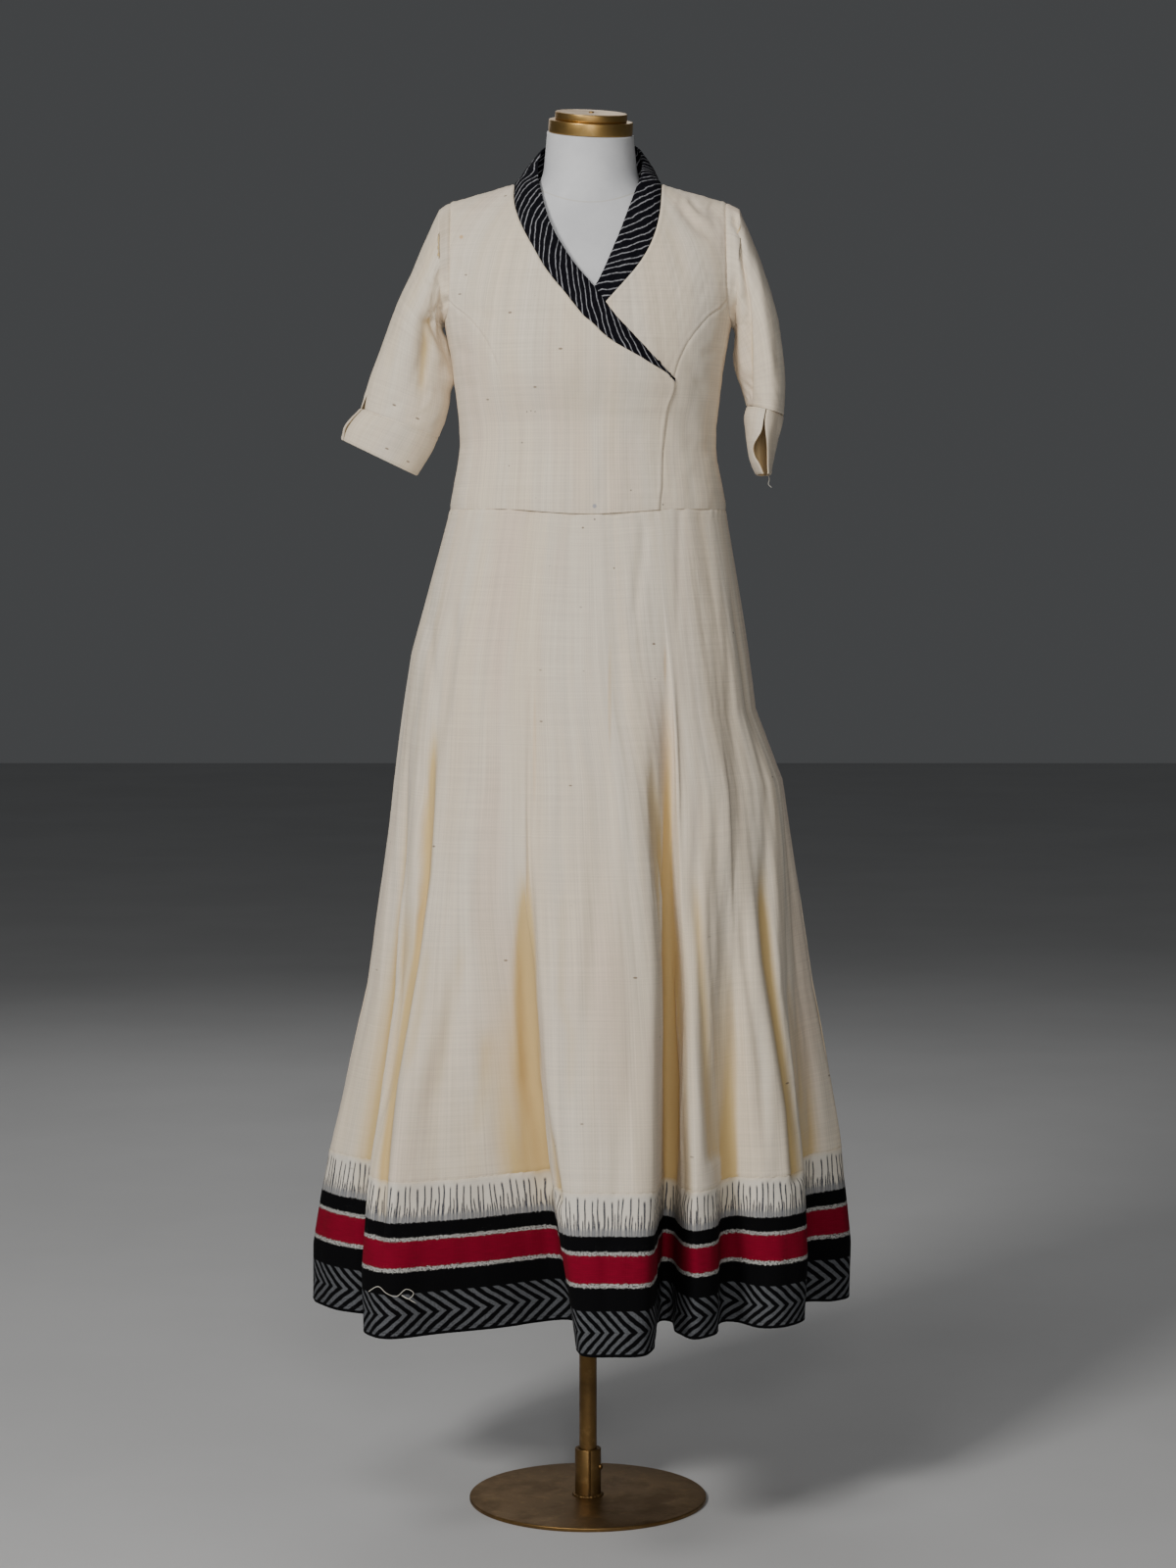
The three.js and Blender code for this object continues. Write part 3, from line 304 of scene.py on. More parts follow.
@dataclass
class Grid:
    """A sheet of points in millimetres: rows run up and columns across, seen from outside."""

    points: Array
    closed: bool = False
    centre: Array = field(default_factory=lambda: np.zeros(3))
    # painted warm shade from the wide creases
    warm_shade: Array = field(default_factory=lambda: np.zeros((1, 1)))

    def steps(self, axis: int) -> Array:
        """Lengths of the steps between neighbouring points along an axis (0 up, 1 across)."""
        if axis == 1 and self.closed:
            return np.linalg.norm(np.roll(self.points, -1, axis=1) - self.points, axis=-1)
        return np.linalg.norm(np.diff(self.points, axis=axis), axis=-1)

    def places(self, axis: int) -> Array:
        """Length from the first point along each column (axis 0) or row (axis 1)."""
        steps = self.steps(axis)
        if axis == 1 and self.closed:
            steps = steps[:, :-1]
        start = np.zeros_like(np.take(steps, [0], axis=axis))
        return np.concatenate([start, np.cumsum(steps, axis=axis)], axis=axis)

    def normals(self) -> Array:
        """Outward directions at the points."""
        p = self.points
        if self.closed:
            along = np.roll(p, -1, axis=1) - np.roll(p, 1, axis=1)
        else:
            along = np.gradient(p, axis=1)
        normals = unit(np.cross(along, np.gradient(p, axis=0)))
        inside = self.centre + p * np.array([0, 0, 1])
        return normals if ((p - inside) * normals).sum() > 0 else -normals

    def push(self, amount: Array) -> "Grid":
        """The same grid moved outwards by an amount at each point."""
        moved = self.points + self.normals() * np.asarray(amount)[..., None]
        return Grid(moved, self.closed, self.centre, self.warm_shade)

    def creased(self, creases: Iterable[Crease]) -> "Grid":
        """The same grid with creases pressed into it; the wide ones get painted warm shade, more where they
        are deep.
        """
        normals = self.normals()
        total = np.zeros(self.points.shape[:-1])
        warm_shade = np.zeros(self.points.shape[:-1])
        for crease in creases:
            amount = crease.amount(self.points, normals)
            total = total + amount
            # wide creases add painted warm shade, by their depth
            if crease.width >= WARM_SHADE_WIDTH:
                warm_shade = np.maximum(warm_shade, np.clip(-amount / WARM_SHADE_DEPTH, 0, WARMEST_SHADE))
        grid = self.push(total)
        grid.warm_shade = np.maximum(warm_shade, self.warm_shade)
        return grid

    def edged(self, bottom: Hem | None = None, top: Hem | None = None, left: Hem | None = None,
              right: Hem | None = None, seed: int = 1) -> "Grid":
        """The same grid with its edges drawn into their seams.

        Args:
            bottom: The lower edge, or None where it stays as it is.
            top: The upper edge.
            left: The edge where the columns start.
            right: The edge where they end.
            seed: Number that fixes the puckers.

        Returns:
            The finished grid.
        """
        up, across = self.places(0), self.places(1)
        total = np.zeros(self.points.shape[:-1])
        edges = ((bottom, up, across), (top, up[-1:] - up, across),
                 (left, across, up), (right, across[:, -1:] - across, up))
        for k, (hem, away, along) in enumerate(edges):
            if hem is None:
                continue
            swelling = (away - RIDGE_PLACE * hem.width) / (RIDGE_WIDTH * hem.width)
            total = total - hem.tuck * np.exp(-((away / hem.width) ** 2))
            total = total + hem.ridge * np.exp(-(swelling**2))
            if hem.pucker:
                waves = unevenness(along, away * 0, (hem.pitch, 1.0), seed + 17 * k)
                total = total + hem.pucker * waves * np.exp(-away / hem.reach)
        return self.push(total)

    def hollow(self, window: float) -> Array:
        """How deep each point lies in a fold.

        Args:
            window: Width of cloth that a point is compared with, in millimetres.

        Returns:
            0 on a ridge or a flat place, up to 1 deep in a fold.
        """
        step = float(np.median(self.steps(1)))
        half = max(1, int(window / step / 2))
        beyond = "wrap" if self.closed else "edge"
        padded = np.pad(self.points, ((0, 0), (half, half), (0, 0)), beyond)
        sums = np.cumsum(np.pad(padded, ((0, 0), (1, 0), (0, 0))), axis=1)
        mean = (sums[:, 2 * half + 1 :] - sums[:, : -2 * half - 1]) / (2 * half + 1)
        depth = ((mean - self.points) * self.normals()).sum(axis=-1)
        return np.clip(depth / (HOLLOW_DEPTH * window), 0, 1)

    def line(self, distance: float, lift: float, from_top: bool = False) -> Array:
        """Points at a distance from the lower or the upper edge, for a row of stitches.

        Args:
            distance: Distance from the edge in millimetres.
            lift: How far the line lies outside the cloth.
            from_top: Whether the distance is from the upper edge.

        Returns:
            One point for each column.
        """
        up = self.places(0)
        away = up[-1] - up if from_top else up
        raised = self.push(lift).points
        order = -1 if from_top else 1
        rows = []
        for j in range(self.points.shape[1]):
            column, spans = raised[::order, j], away[::order, j]
            rows.append([np.interp(distance, spans, column[:, k]) for k in range(3)])
        return np.array(rows)


@dataclass(frozen=True)
class Layout:
    """Where a grid's points lie on the flat cloth, in millimetres."""

    across: Array
    up: Array

    @staticmethod
    def level(grid: Grid) -> "Layout":
        """Flat places by the angle round the body and the height, as on a cloth hung straight."""
        x, y, z = np.moveaxis(grid.points, -1, 0)
        return Layout(BODY_RADIUS * np.arctan2(x, np.abs(y) + BODY_DEPTH_SHIFT), z)

    @staticmethod
    def measured(grid: Grid, row: float = 0.5, column: float = 0.5) -> "Layout":
        """Flat places measured along one row and one column of a grid.

        Args:
            grid: The grid.
            row: Which row gives the places across, as a share of the rows.
            column: Which column gives the places up.

        Returns:
            The layout, with one more column than the grid where the grid is closed.
        """
        steps = grid.steps(1)
        i = int(row * (steps.shape[0] - 1))
        j = int(column * (grid.points.shape[1] - 1))
        across = np.concatenate([[0], np.cumsum(steps[i])])
        up = grid.places(0)[:, j]
        return Layout(*np.broadcast_arrays(across[None, :], up[:, None]))


def shell(name: str, grid: Grid, layout: Layout, thickness: float, window: float) -> Piece:
    """A closed thin wall whose outer face is a grid.

    Args:
        name: The piece's name.
        grid: The outer face.
        layout: Where the points lie on the flat cloth, kept as the UV map in metres.
        thickness: The wall's thickness in millimetres.
        window: Width of cloth that the fold depth is measured over.

    Returns:
        The new object, linked to the scene.
    """
    outer, inner = grid.points, grid.push(-thickness).points
    rows, columns = outer.shape[:2]
    spans = columns if grid.closed else columns - 1
    i, j = np.meshgrid(np.arange(rows - 1), np.arange(spans), indexing="ij")

    def at(side: int, r: Array, c: Array) -> Array:
        """Vertex numbers of grid places on one side of the wall."""
        return side * rows * columns + r * columns + c % columns

    def quads(*corners: tuple[int, Array, Array]) -> tuple[Array, Array]:
        """Faces from four corners, with their flat places."""
        verts = np.stack([at(*corner).ravel() for corner in corners], axis=1)
        flat = np.stack([np.stack([layout.across[r, c].ravel(), layout.up[r, c].ravel()], axis=1)
                         for _, r, c in corners], axis=1)
        return verts, flat

    outside = quads((0, i, j), (0, i, j + 1), (0, i + 1, j + 1), (0, i + 1, j))
    inside = quads((1, i, j), (1, i + 1, j), (1, i + 1, j + 1), (1, i, j + 1))
    c = np.arange(spans)
    low, high = np.zeros_like(c), np.full_like(c, rows - 1)
    parts = [outside, inside,
             quads((0, low, c), (1, low, c), (1, low, c + 1), (0, low, c + 1)),
             quads((0, high, c), (0, high, c + 1), (1, high, c + 1), (1, high, c))]
    if not grid.closed:
        r = np.arange(rows - 1)
        start, end = np.zeros_like(r), np.full_like(r, columns - 1)
        parts.append(quads((0, r, start), (0, r + 1, start), (1, r + 1, start), (1, r, start)))
        parts.append(quads((0, r, end), (1, r, end), (1, r + 1, end), (0, r + 1, end)))
    faces = np.concatenate([verts for verts, _ in parts])
    flat = np.concatenate([places for _, places in parts])
    step = np.cross(outer[0, 1] - outer[0, 0], outer[1, 0] - outer[0, 0])
    if step @ grid.normals()[0, 0] < 0:
        faces, flat = faces[:, ::-1], flat[:, ::-1]
    points = np.concatenate([outer.reshape(-1, 3), inner.reshape(-1, 3)])
    # fold depth plus the painted warm shade of wide creases; the inner face also gets painted light that came
    # through the cloth
    hollow = np.clip(grid.hollow(window) + grid.warm_shade, 0, 1).ravel()
    depth = np.concatenate([hollow, np.clip(hollow + INSIDE_PAINTED_LIGHT, 0, 1)])
    rim = np.zeros((rows, columns), bool)
    rim[[0, -1], :] = True
    if not grid.closed:
        rim[:, [0, -1]] = True
    rims = np.tile(rim.ravel(), 2)
    return mesh_object(name, points, faces, flat * MM, depth, rims, rows * columns)


def lattice(rows: int, columns: int, looped: tuple[bool, bool] = (False, True)) -> Array:
    """Faces between rows of points, where the rows and the columns may come round to their start.

    Args:
        rows: Number of rows.
        columns: Number of points in a row.
        looped: Whether the last row meets the first one, and the last column the first.

    Returns:
        Four point numbers for each face.
    """
    ends = (np.arange(count - (not loop)) for count, loop in zip((rows, columns), looped))
    i, j = np.meshgrid(*ends, indexing="ij")
    m, n = (i + 1) % rows * columns, (j + 1) % columns
    return np.stack([i * columns + j, i * columns + n, m + n, m + j], axis=-1).reshape(-1, 4)


def mesh_object(name: str, points: Array, faces: Array, uv: Array | None = None,
                depth: Array | None = None, rim: Array | None = None, half: int = 0) -> Piece:
    """A mesh of four-cornered faces, given in millimetres.

    Args:
        name: The piece's name.
        points: The points.
        faces: Four point numbers for each face.
        uv: Flat place of each face corner, in metres.
        depth: Fold depth at each point, raised by the painted warm shade and, on the inner face, by painted
            light through the cloth.
        rim: Which points are on the wall's edges, whose creases stay sharp.
        half: Number of points on the outer side of the wall.

    Returns:
        The new object, linked to the scene.
    """
    mesh = bpy.data.meshes.new(name)
    mesh.vertices.add(len(points))
    mesh.vertices.foreach_set("co", (points * MM).astype(np.float32).ravel())
    mesh.loops.add(faces.size)
    mesh.loops.foreach_set("vertex_index", faces.astype(np.int32).ravel())
    mesh.polygons.add(len(faces))
    mesh.polygons.foreach_set("loop_start", np.arange(0, faces.size, 4, dtype=np.int32))
    mesh.polygons.foreach_set("use_smooth", np.ones(len(faces), bool))
    mesh.update(calc_edges=True)
    if uv is not None:
        mesh.uv_layers.new(name="cloth").data.foreach_set("uv", uv.astype(np.float32).ravel())
    if depth is not None:
        attribute = mesh.attributes.new("hollow", "FLOAT", "POINT")
        attribute.data.foreach_set("value", depth.astype(np.float32))
    if rim is not None:
        ends = np.zeros(len(mesh.edges) * 2, np.int32)
        mesh.edges.foreach_get("vertices", ends)
        ends = ends.reshape(-1, 2)
        sharp = rim[ends].all(axis=1) & ((ends[:, 0] < half) == (ends[:, 1] < half))
        mesh.attributes.new("sharp_edge", "BOOLEAN", "EDGE").data.foreach_set("value", sharp)
    mesh.validate()
    return linked(name, mesh)


def linked(name: str, data: bpy.types.ID) -> Piece:
    """A new object with this data, in the scene."""
    piece = bpy.data.objects.new(name, data)
    bpy.context.scene.collection.objects.link(piece)
    return piece


def dress(piece: Piece, material: Material, slot: str, *nodes: str) -> Piece:
    """Gives a piece its finish, hides the CAD nodes that it stands for, and lets it ride.

    Args:
        piece: The piece.
        material: Its finish.
        slot: Not used.
        nodes: CAD nodes that the piece replaces.

    Returns:
        The same piece.
    """
    piece.data.materials.clear()
    piece.data.materials.append(material)
    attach(piece, BODY)
    if nodes:
        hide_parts(*nodes)
    triangles = sum(len(face.vertices) - 2 for face in piece.data.polygons)
    log.info("%s: %d triangles", piece.name, triangles)
    return piece


# ---- finishes


def operation(name: str, swapped: bool = False) -> Callable[..., "Value"]:
    """An arithmetic operator of Value that adds a Math node of this name."""

    def apply(a: "Value", b: "Value | float" = 0.0) -> "Value":
        """The operation's result."""
        return a.shader.math(name, b, a) if swapped else a.shader.math(name, a, b)

    return apply


class Value:
    """A number or a colour in a material's nodes, which can be used in plain arithmetic."""

    __add__, __radd__ = operation("ADD"), operation("ADD", True)
    __sub__, __rsub__ = operation("SUBTRACT"), operation("SUBTRACT", True)
    __mul__, __truediv__ = operation("MULTIPLY"), operation("DIVIDE")
    floor, fract = operation("FLOOR"), operation("FRACT")
    size, root = operation("ABSOLUTE"), operation("SQRT")

    def __init__(self, shader: "Shader", socket: Socket) -> None:
        """Keeps the socket that gives the value."""
        self.shader, self.socket = shader, socket


def opaque(colour: Colour | Value) -> Value | tuple[float, ...]:
    """A plain colour with full alpha, or the same value."""
    return colour if isinstance(colour, Value) else (*colour, 1.0)


class Shader:
    """Builds one material's nodes in a few words."""

    def __init__(self, name: str) -> None:
        """Starts an empty material."""
        self.material = bpy.data.materials.new(name)
        self.material.use_nodes = True
        self.tree = self.material.node_tree
        self.tree.nodes.clear()

    def add(self, kind: str, inputs: dict[str | int, object], **settings: object) -> Sequence[Socket]:
        """Adds a node.

        Args:
            kind: The node's type, without its ShaderNode prefix.
            inputs: Values or sockets for its inputs.
            **settings: Its other settings.

        Returns:
            The node's outputs.
        """
        node = self.tree.nodes.new(f"ShaderNode{kind}")
        for name, value in settings.items():
            setattr(node, name, value)
        for key, value in inputs.items():
            value = value.socket if isinstance(value, Value) else value
            if isinstance(value, Socket):
                self.tree.links.new(value, node.inputs[key])
            else:
                node.inputs[key].default_value = value
        return node.outputs

    def take(self, output: int | str, kind: str, inputs: dict[str | int, object],
             **settings: object) -> Value:
        """Adds a node and gives one of its outputs."""
        return Value(self, self.add(kind, inputs, **settings)[output])

    def math(self, kind: str, a: Value | float, b: Value | float = 0.0) -> Value:
        """The result of a Math node."""
        return self.take(0, "Math", {0: a, 1: b}, operation=kind)

    def split(self, vector: Value | Socket) -> tuple[Value, ...]:
        """A vector's three numbers."""
        return tuple(Value(self, part) for part in self.add("SeparateXYZ", {0: vector}))

    def cloth(self) -> tuple[Value, Value]:
        """Places across and up the flat cloth, in metres."""
        return self.split(self.take(0, "UVMap", {}, uv_map="cloth"))[:2]

    def place(self) -> Value:
        """Places in the object's own space, in metres."""
        return self.take("Object", "TexCoord", {})

    def join(self, x: Value | float, y: Value | float, z: Value | float = 0.0) -> Value:
        """A vector from three numbers."""
        return self.take(0, "CombineXYZ", {0: x, 1: y, 2: z})

    def noise(self, vector: Value, scale: float, detail: float = 2.0, roughness: float = 0.5) -> Value:
        """Smooth noise between about 0.25 and 0.75."""
        inputs = {"Vector": vector, "Scale": scale, "Detail": detail, "Roughness": roughness}
        return self.take(0, "TexNoise", inputs)

    def wander(self, vector: Value, scale: float, swing: float, detail: float = 2.0,
               roughness: float = 0.5) -> Value:
        """Smooth noise about 0, times a swing."""
        return (self.noise(vector, scale, detail, roughness) - 0.5) * swing

    def threads(self, x: Value, y: Value, across: float, along: float, detail: float = 1.0) -> Value:
        """Noise stretched into threads.

        Args:
            x: Place across the threads, in metres.
            y: Place along them.
            across: Threads per metre.
            along: Changes per metre along a thread.
            detail: Octaves of the noise.

        Returns:
            The noise.
        """
        return self.noise(self.join(x * across, y * along), 1.0, detail)

    def dice(self, value: Value, offset: float) -> Value:
        """A random number between 0 and 1 for each whole number."""
        return self.take(0, "TexWhiteNoise", {"W": value + offset}, noise_dimensions="1D")

    def rise(self, value: Value, low: float, high: float) -> Value:
        """Rises smoothly from 0 at low to 1 at high, or falls where low is the higher."""
        inputs = {"Value": value, "From Min": low, "From Max": high}
        return self.take(0, "MapRange", inputs, interpolation_type="SMOOTHSTEP")

    def mix(self, share: Value | float, a: Colour | Value, b: Colour | Value, blend: str = "MIX") -> Value:
        """A mix of two colours."""
        inputs = {0: share, 6: opaque(a), 7: opaque(b)}
        return self.take(2, "Mix", inputs, data_type="RGBA", blend_type=blend)

    def shade(self, colour: Colour | Value, level: Value) -> Value:
        """A colour times a level of light."""
        return self.mix(1.0, colour, self.join(level, level, level), "MULTIPLY")

    def finish(self, colour: Value, roughness: Value | float, height: Value, deep: float,
               **principled: float) -> Material:
        """Ends the material.

        Args:
            colour: Base colour.
            roughness: Roughness.
            height: Height for the bump.
            deep: Depth of the bump in metres.
            **principled: Other plain values of the surface, with spaces as underscores.

        Returns:
            The material.
        """
        inputs = {name.replace("_", " "): value for name, value in principled.items()}
        bump = self.take(0, "Bump", {"Height": height, "Distance": deep, "Strength": 1.0})
        inputs |= {"Base Color": colour, "Roughness": roughness, "Normal": bump}
        self.add("OutputMaterial", {0: self.take(0, "BsdfPrincipled", inputs)})
        return self.material


@dataclass(frozen=True)
class Spot:
    """A mark on the front of the cloth, in millimetres, as tall as it is wide unless it is a streak."""

    x: float
    z: float
    radius: float
    colour: Colour
    strength: float = 0.7
    tall: float = 1.0

    def mark(self, s: Shader, x: Value, z: Value) -> Value:
        """How far the mark covers each place of the cloth."""
        wide, high = (x - self.x * MM) * (1 / MM), (z - self.z * MM) * (1 / MM / self.tall)
        return s.rise((wide * wide + high * high).root(), self.radius, self.radius * 0.4)


HUSK = (0.13, 0.1, 0.08)
RUST = (0.62, 0.36, 0.13)
SPOTS = (
    Spot(8, 1253, 3.6, (0.25, 0.28, 0.36)), Spot(8, 1237, 1.7, HUSK), Spot(91, 1255, 1.6, HUSK),
    Spot(-155, 1582, 3.4, RUST), Spot(52, 1272, 1.5, HUSK), Spot(-80, 1330, 1.5, HUSK),
    Spot(-74, 1367, 1.3, HUSK), Spot(-69, 1368, 1.3, HUSK), Spot(-64, 1367, 1.3, HUSK),
    Spot(-96, 1302, 1.2, HUSK), Spot(24, 1456, 1.3, HUSK), Spot(26, 1020, 3.0, RUST, 0.3, 26.0),
    Spot(93, 1061, 2.4, RUST, 0.35, 12.0), Spot(-64, 960, 3.0, RUST, 0.22, 30.0),
)


@dataclass(frozen=True)
class Cotton:
    """Unbleached handloom cotton: slubs, flecks and faint streaks, with painted warm shade in the folds."""

    light: Colour = (0.765, 0.68, 0.552)
    cream: Colour = (0.77, 0.655, 0.5)
    blush: Colour = (0.745, 0.6, 0.47)
    # painted warm shade deep in the folds, for light bounced and passed through the cloth
    fold_shade: Colour = (0.64, 0.45, 0.175)
    fleck: Colour = (0.2, 0.14, 0.09)
    fold_shade_share: float = 0.9
    name: str = "handloom_cotton"

    def colour(self, s: Shader, x: Value, y: Value) -> tuple[Value, Value]:
        """The cloth's colour and its surface height.

        Args:
            s: The material being built.
            x: Place across the flat cloth, in metres.
            y: Place up it.

        Returns:
            The colour and the height between 0 and 1.
        """
        patches = s.rise(s.threads(x, y, 24.0, 2.2, 3.0), 0.36, 0.66)
        blush = s.rise(s.threads(x + 3.7, y, 9.0, 2.4, 2.0), 0.5, 0.72)
        colour = s.mix(blush * 0.7, s.mix(patches, self.cream, self.light), self.blush)
        warp, weft = s.threads(x, y, 620.0, 5.0, 2.0), s.threads(y, x, 560.0, 7.0, 2.0)
        bands = s.threads(x, y, 85.0, 0.9, 3.0) - 0.5
        colour = s.shade(colour, 1.0 + ((warp - 0.5) * 0.4 + (weft - 0.5) * 0.28 + bands * 0.24))
        slub = s.rise(s.threads(y, x + 1.3, 330.0, 26.0), 0.7, 0.79)
        colour = s.mix(slub * 0.5, colour, self.light)
        # painted warm shade, stronger the deeper the fold
        hollow = s.take("Fac", "Attribute", {}, attribute_name="hollow")
        colour = s.mix(s.rise(hollow, 0.08, 0.9) * self.fold_shade_share, colour, self.fold_shade)
        colour = s.mix(self.flecks(s, x, y), colour, self.fleck)
        side, depth, up = s.split(s.place())
        front = s.rise(depth, 0.0, -0.02)
        for spot in SPOTS:
            colour = s.mix(spot.mark(s, side, up) * front * spot.strength, colour, spot.colour)
        return colour, warp * 0.5 + weft * 0.5 + slub * 0.35

    def flecks(self, s: Shader, x: Value, y: Value) -> Value:
        """Sparse dark specks of seed husk, some of them short threads."""
        inputs = {"Vector": s.join(x * 30.0, y * 66.0), "Scale": 1.0, "Randomness": 1.0}
        cells = s.add("TexVoronoi", inputs)
        kept = s.rise(s.take(0, "SeparateColor", {0: cells["Color"]}), 0.8, 0.9)
        return s.rise(Value(s, cells["Distance"]), 0.1, 0.05) * kept * 0.85

    def material(self) -> Material:
        """The finished material."""
        s = Shader(self.name)
        colour, height = self.colour(s, *s.cloth())
        return s.finish(colour, 0.92, height, 0.00035, Specular_IOR_Level=0.25, Sheen_Weight=0.12,
                        Sheen_Roughness=0.6)


@dataclass(frozen=True)
class StripedCotton:
    """Black cotton with thin wavy cream stripes that cross the collar at a slant."""

    black: Colour = (0.0035, 0.0035, 0.006)
    cream: Colour = (0.31, 0.31, 0.33)
    spacing: float = 0.0078
    line: float = 0.175
    slant: float = 0.66  # radians from the collar's length
    name: str = "striped_cotton"

    def material(self) -> Material:
        """The finished material."""
        s = Shader(self.name)
        x, y = s.cloth()
        across = x * (math.cos(self.slant) / self.spacing)
        along = y * (math.sin(self.slant) / self.spacing)
        phase = across - along + s.wander(s.join(x, y), 48.0, 0.8)
        centre = 0.5 + (s.dice(phase.floor(), 0.4) - 0.5) * 0.22
        ragged = (phase.fract() - centre).size() + s.wander(s.join(x, y), 900.0, 0.09, 1.0)
        line = s.rise(ragged, self.line * 0.62, self.line * 0.34)
        faded = s.rise(s.noise(s.join(x, y, 2.0), 260.0), 0.3, 0.6)
        yarn = s.threads(x, y, 900.0, 30.0) + s.threads(y, x, 900.0, 30.0)
        colour = s.mix(line * (0.45 + faded * 0.55), self.black, self.cream)
        colour = s.mix(s.rise(yarn, 0.95, 1.4) * 0.02, colour, self.cream)
        return s.finish(colour, 0.95, yarn * 0.4 + line * 0.3, 0.0003, Specular_IOR_Level=0.1)


@dataclass(frozen=True)
class HemBand:
    """The woven band at the hem: ticks, fringe, black, crimson between white lines and chevrons.

    Heights are millimetres down from the band's seam. Each row of ticks has its offset, its width,
    its start and how far the starts spread.
    """

    fringe: float = 45.0
    black: float = 53.0
    upper_white: float = 71.0
    crimson: float = 75.5
    lower_white: float = 108.0
    lower_black: float = 113.0
    chevrons: float = 140.0
    edge: float = 189.5
    height: float = 193.0
    beyond: float = 999.0
    soft: float = 0.5
    tick_pitch: float = 8.0
    tick_rows: tuple[tuple[float, ...], ...] = ((0.0, 1.5, 6.0, 6.0), (0.5, 1.05, 24.0, 12.0),
                                                (0.27, 0.8, 33.0, 9.0), (0.76, 0.8, 34.0, 9.0))
    chevron_pitch: float = 13.6
    chevron_slope: float = 1.08
    white: Colour = (0.5, 0.49, 0.46)
    bleached: Colour = (0.72, 0.7, 0.64)
    ink: Colour = (0.035, 0.04, 0.06)
    grey: Colour = (0.12, 0.125, 0.135)
    pale_grey: Colour = (0.36, 0.36, 0.36)
    dark: Colour = (0.0025, 0.0025, 0.003)
    red: Colour = (0.2, 0.0035, 0.018)
    name: str = "woven_hem_band"

    def material(self, cotton: Cotton) -> Material:
        """The finished material.

        Args:
            cotton: The cloth that the ticks are dyed on.

        Returns:
            The material.
        """
        s = Shader(self.name)
        x, y = s.cloth()
        cloth, height = cotton.colour(s, x, y)
        u, v = x * (1 / MM), y * (1 / MM)
        plain = s.join(u, v)
        row = v + s.wander(plain, 0.28, 7.5, 3.0, 0.85)
        speck = s.noise(plain, 0.5, 3.0, 0.85)
        colour = s.mix(self.within(s, row, self.black, self.beyond), self.ticks(s, cloth, u, v), self.dark)
        for low, high in ((self.upper_white, self.crimson), (self.lower_white, self.lower_black)):
            line = self.within(s, row, low, high) * s.rise(speck, 0.38, 0.56)
            colour = s.mix(line, colour, self.white)
        specks = s.rise(s.noise(plain, 1.9, 2.0, 0.9), 0.66, 0.74)
        sparse = s.rise(s.noise(plain, 0.05), 0.5, 0.62)
        dotted = specks * sparse * self.within(s, row, self.upper_white - 8, self.upper_white)
        colour = s.mix(dotted * 0.6, colour, self.white)
        red = s.shade(self.red, 0.72 + s.threads(y, x, 800.0, 60.0, 2.0) * 0.56)
        shed = specks * (1.0 - self.within(s, row, self.crimson + 5, self.lower_white - 4))
        red = s.mix(shed * 0.5, red, self.white)
        colour = s.mix(self.within(s, row, self.crimson, self.lower_white), colour, red)
        colour = s.mix(self.chevron(s, u, v, speck), colour, self.grey)
        return s.finish(colour, 0.95, height, 0.0003, Specular_IOR_Level=0.1)

    def within(self, s: Shader, value: Value, low: float, high: float) -> Value:
        """1 between two heights, with soft edges."""
        inside = s.rise(value, low - self.soft, low + self.soft)
        return inside * s.rise(value, high + self.soft, high - self.soft)

    def ticks(self, s: Shader, cloth: Value, u: Value, v: Value) -> Value:
        """Dark uneven ticks that grow out of a grey fringe, with short teeth between them.

        Args:
            s: The material being built.
            cloth: The cloth's colour.
            u: Place along the band in millimetres.
            v: Place down it.

        Returns:
            The colour of the tick band.
        """
        colour = s.mix(s.rise(v, 0.0, 9.0), cloth, s.mix(0.6, cloth, self.bleached))
        sway = s.wander(s.join(u, v * 0.3), 0.05, 9.0)
        for offset, width, start, spread in self.tick_rows:
            cell = (u + sway) / self.tick_pitch + offset
            number = cell.floor()
            centre = 0.5 + (s.dice(number, 7 * offset) - 0.5) * 0.4
            off = (cell.fract() - centre).size() * self.tick_pitch
            top = start + s.dice(number, 31.0 + offset) * spread
            beads = 0.62 + s.rise(s.noise(s.join(u, v, offset), 0.9), 0.3, 0.55) * 0.38
            ink = s.rise(off, width, width * 0.3) * s.rise(v - top, -1.0, 4.0) * beads
            colour = s.mix(ink, colour, self.ink)
        fringe = s.threads(u * MM, v * MM, 1000.0, 30.0, 2.0)
        start = s.rise(v + fringe * 8.0, self.fringe + 1.0, self.fringe + 7.0)
        return s.mix(start * 0.8, colour, s.mix(fringe, self.grey, self.pale_grey))

    def chevron(self, s: Shader, u: Value, v: Value, speck: Value) -> Value:
        """How grey the chevrons are: arrows that point to the right all round.

        Args:
            s: The material being built.
            u: Place along the band in millimetres.
            v: Place down it.
            speck: Noise that roughens the grey.

        Returns:
            The share of grey.
        """
        back = (v - (self.chevrons + self.edge) / 2).size() * self.chevron_slope
        phase = (u + back + s.wander(s.join(u, v, 5.0), 0.09, 4.0)) / self.chevron_pitch
        stripe = s.rise((phase.fract() - 0.5).size() + (speck - 0.5) * 0.2, 0.27, 0.2)
        woven = 0.45 + s.rise(speck, 0.3, 0.65) * 0.55
        return stripe * woven * self.within(s, v, self.chevrons, self.edge)


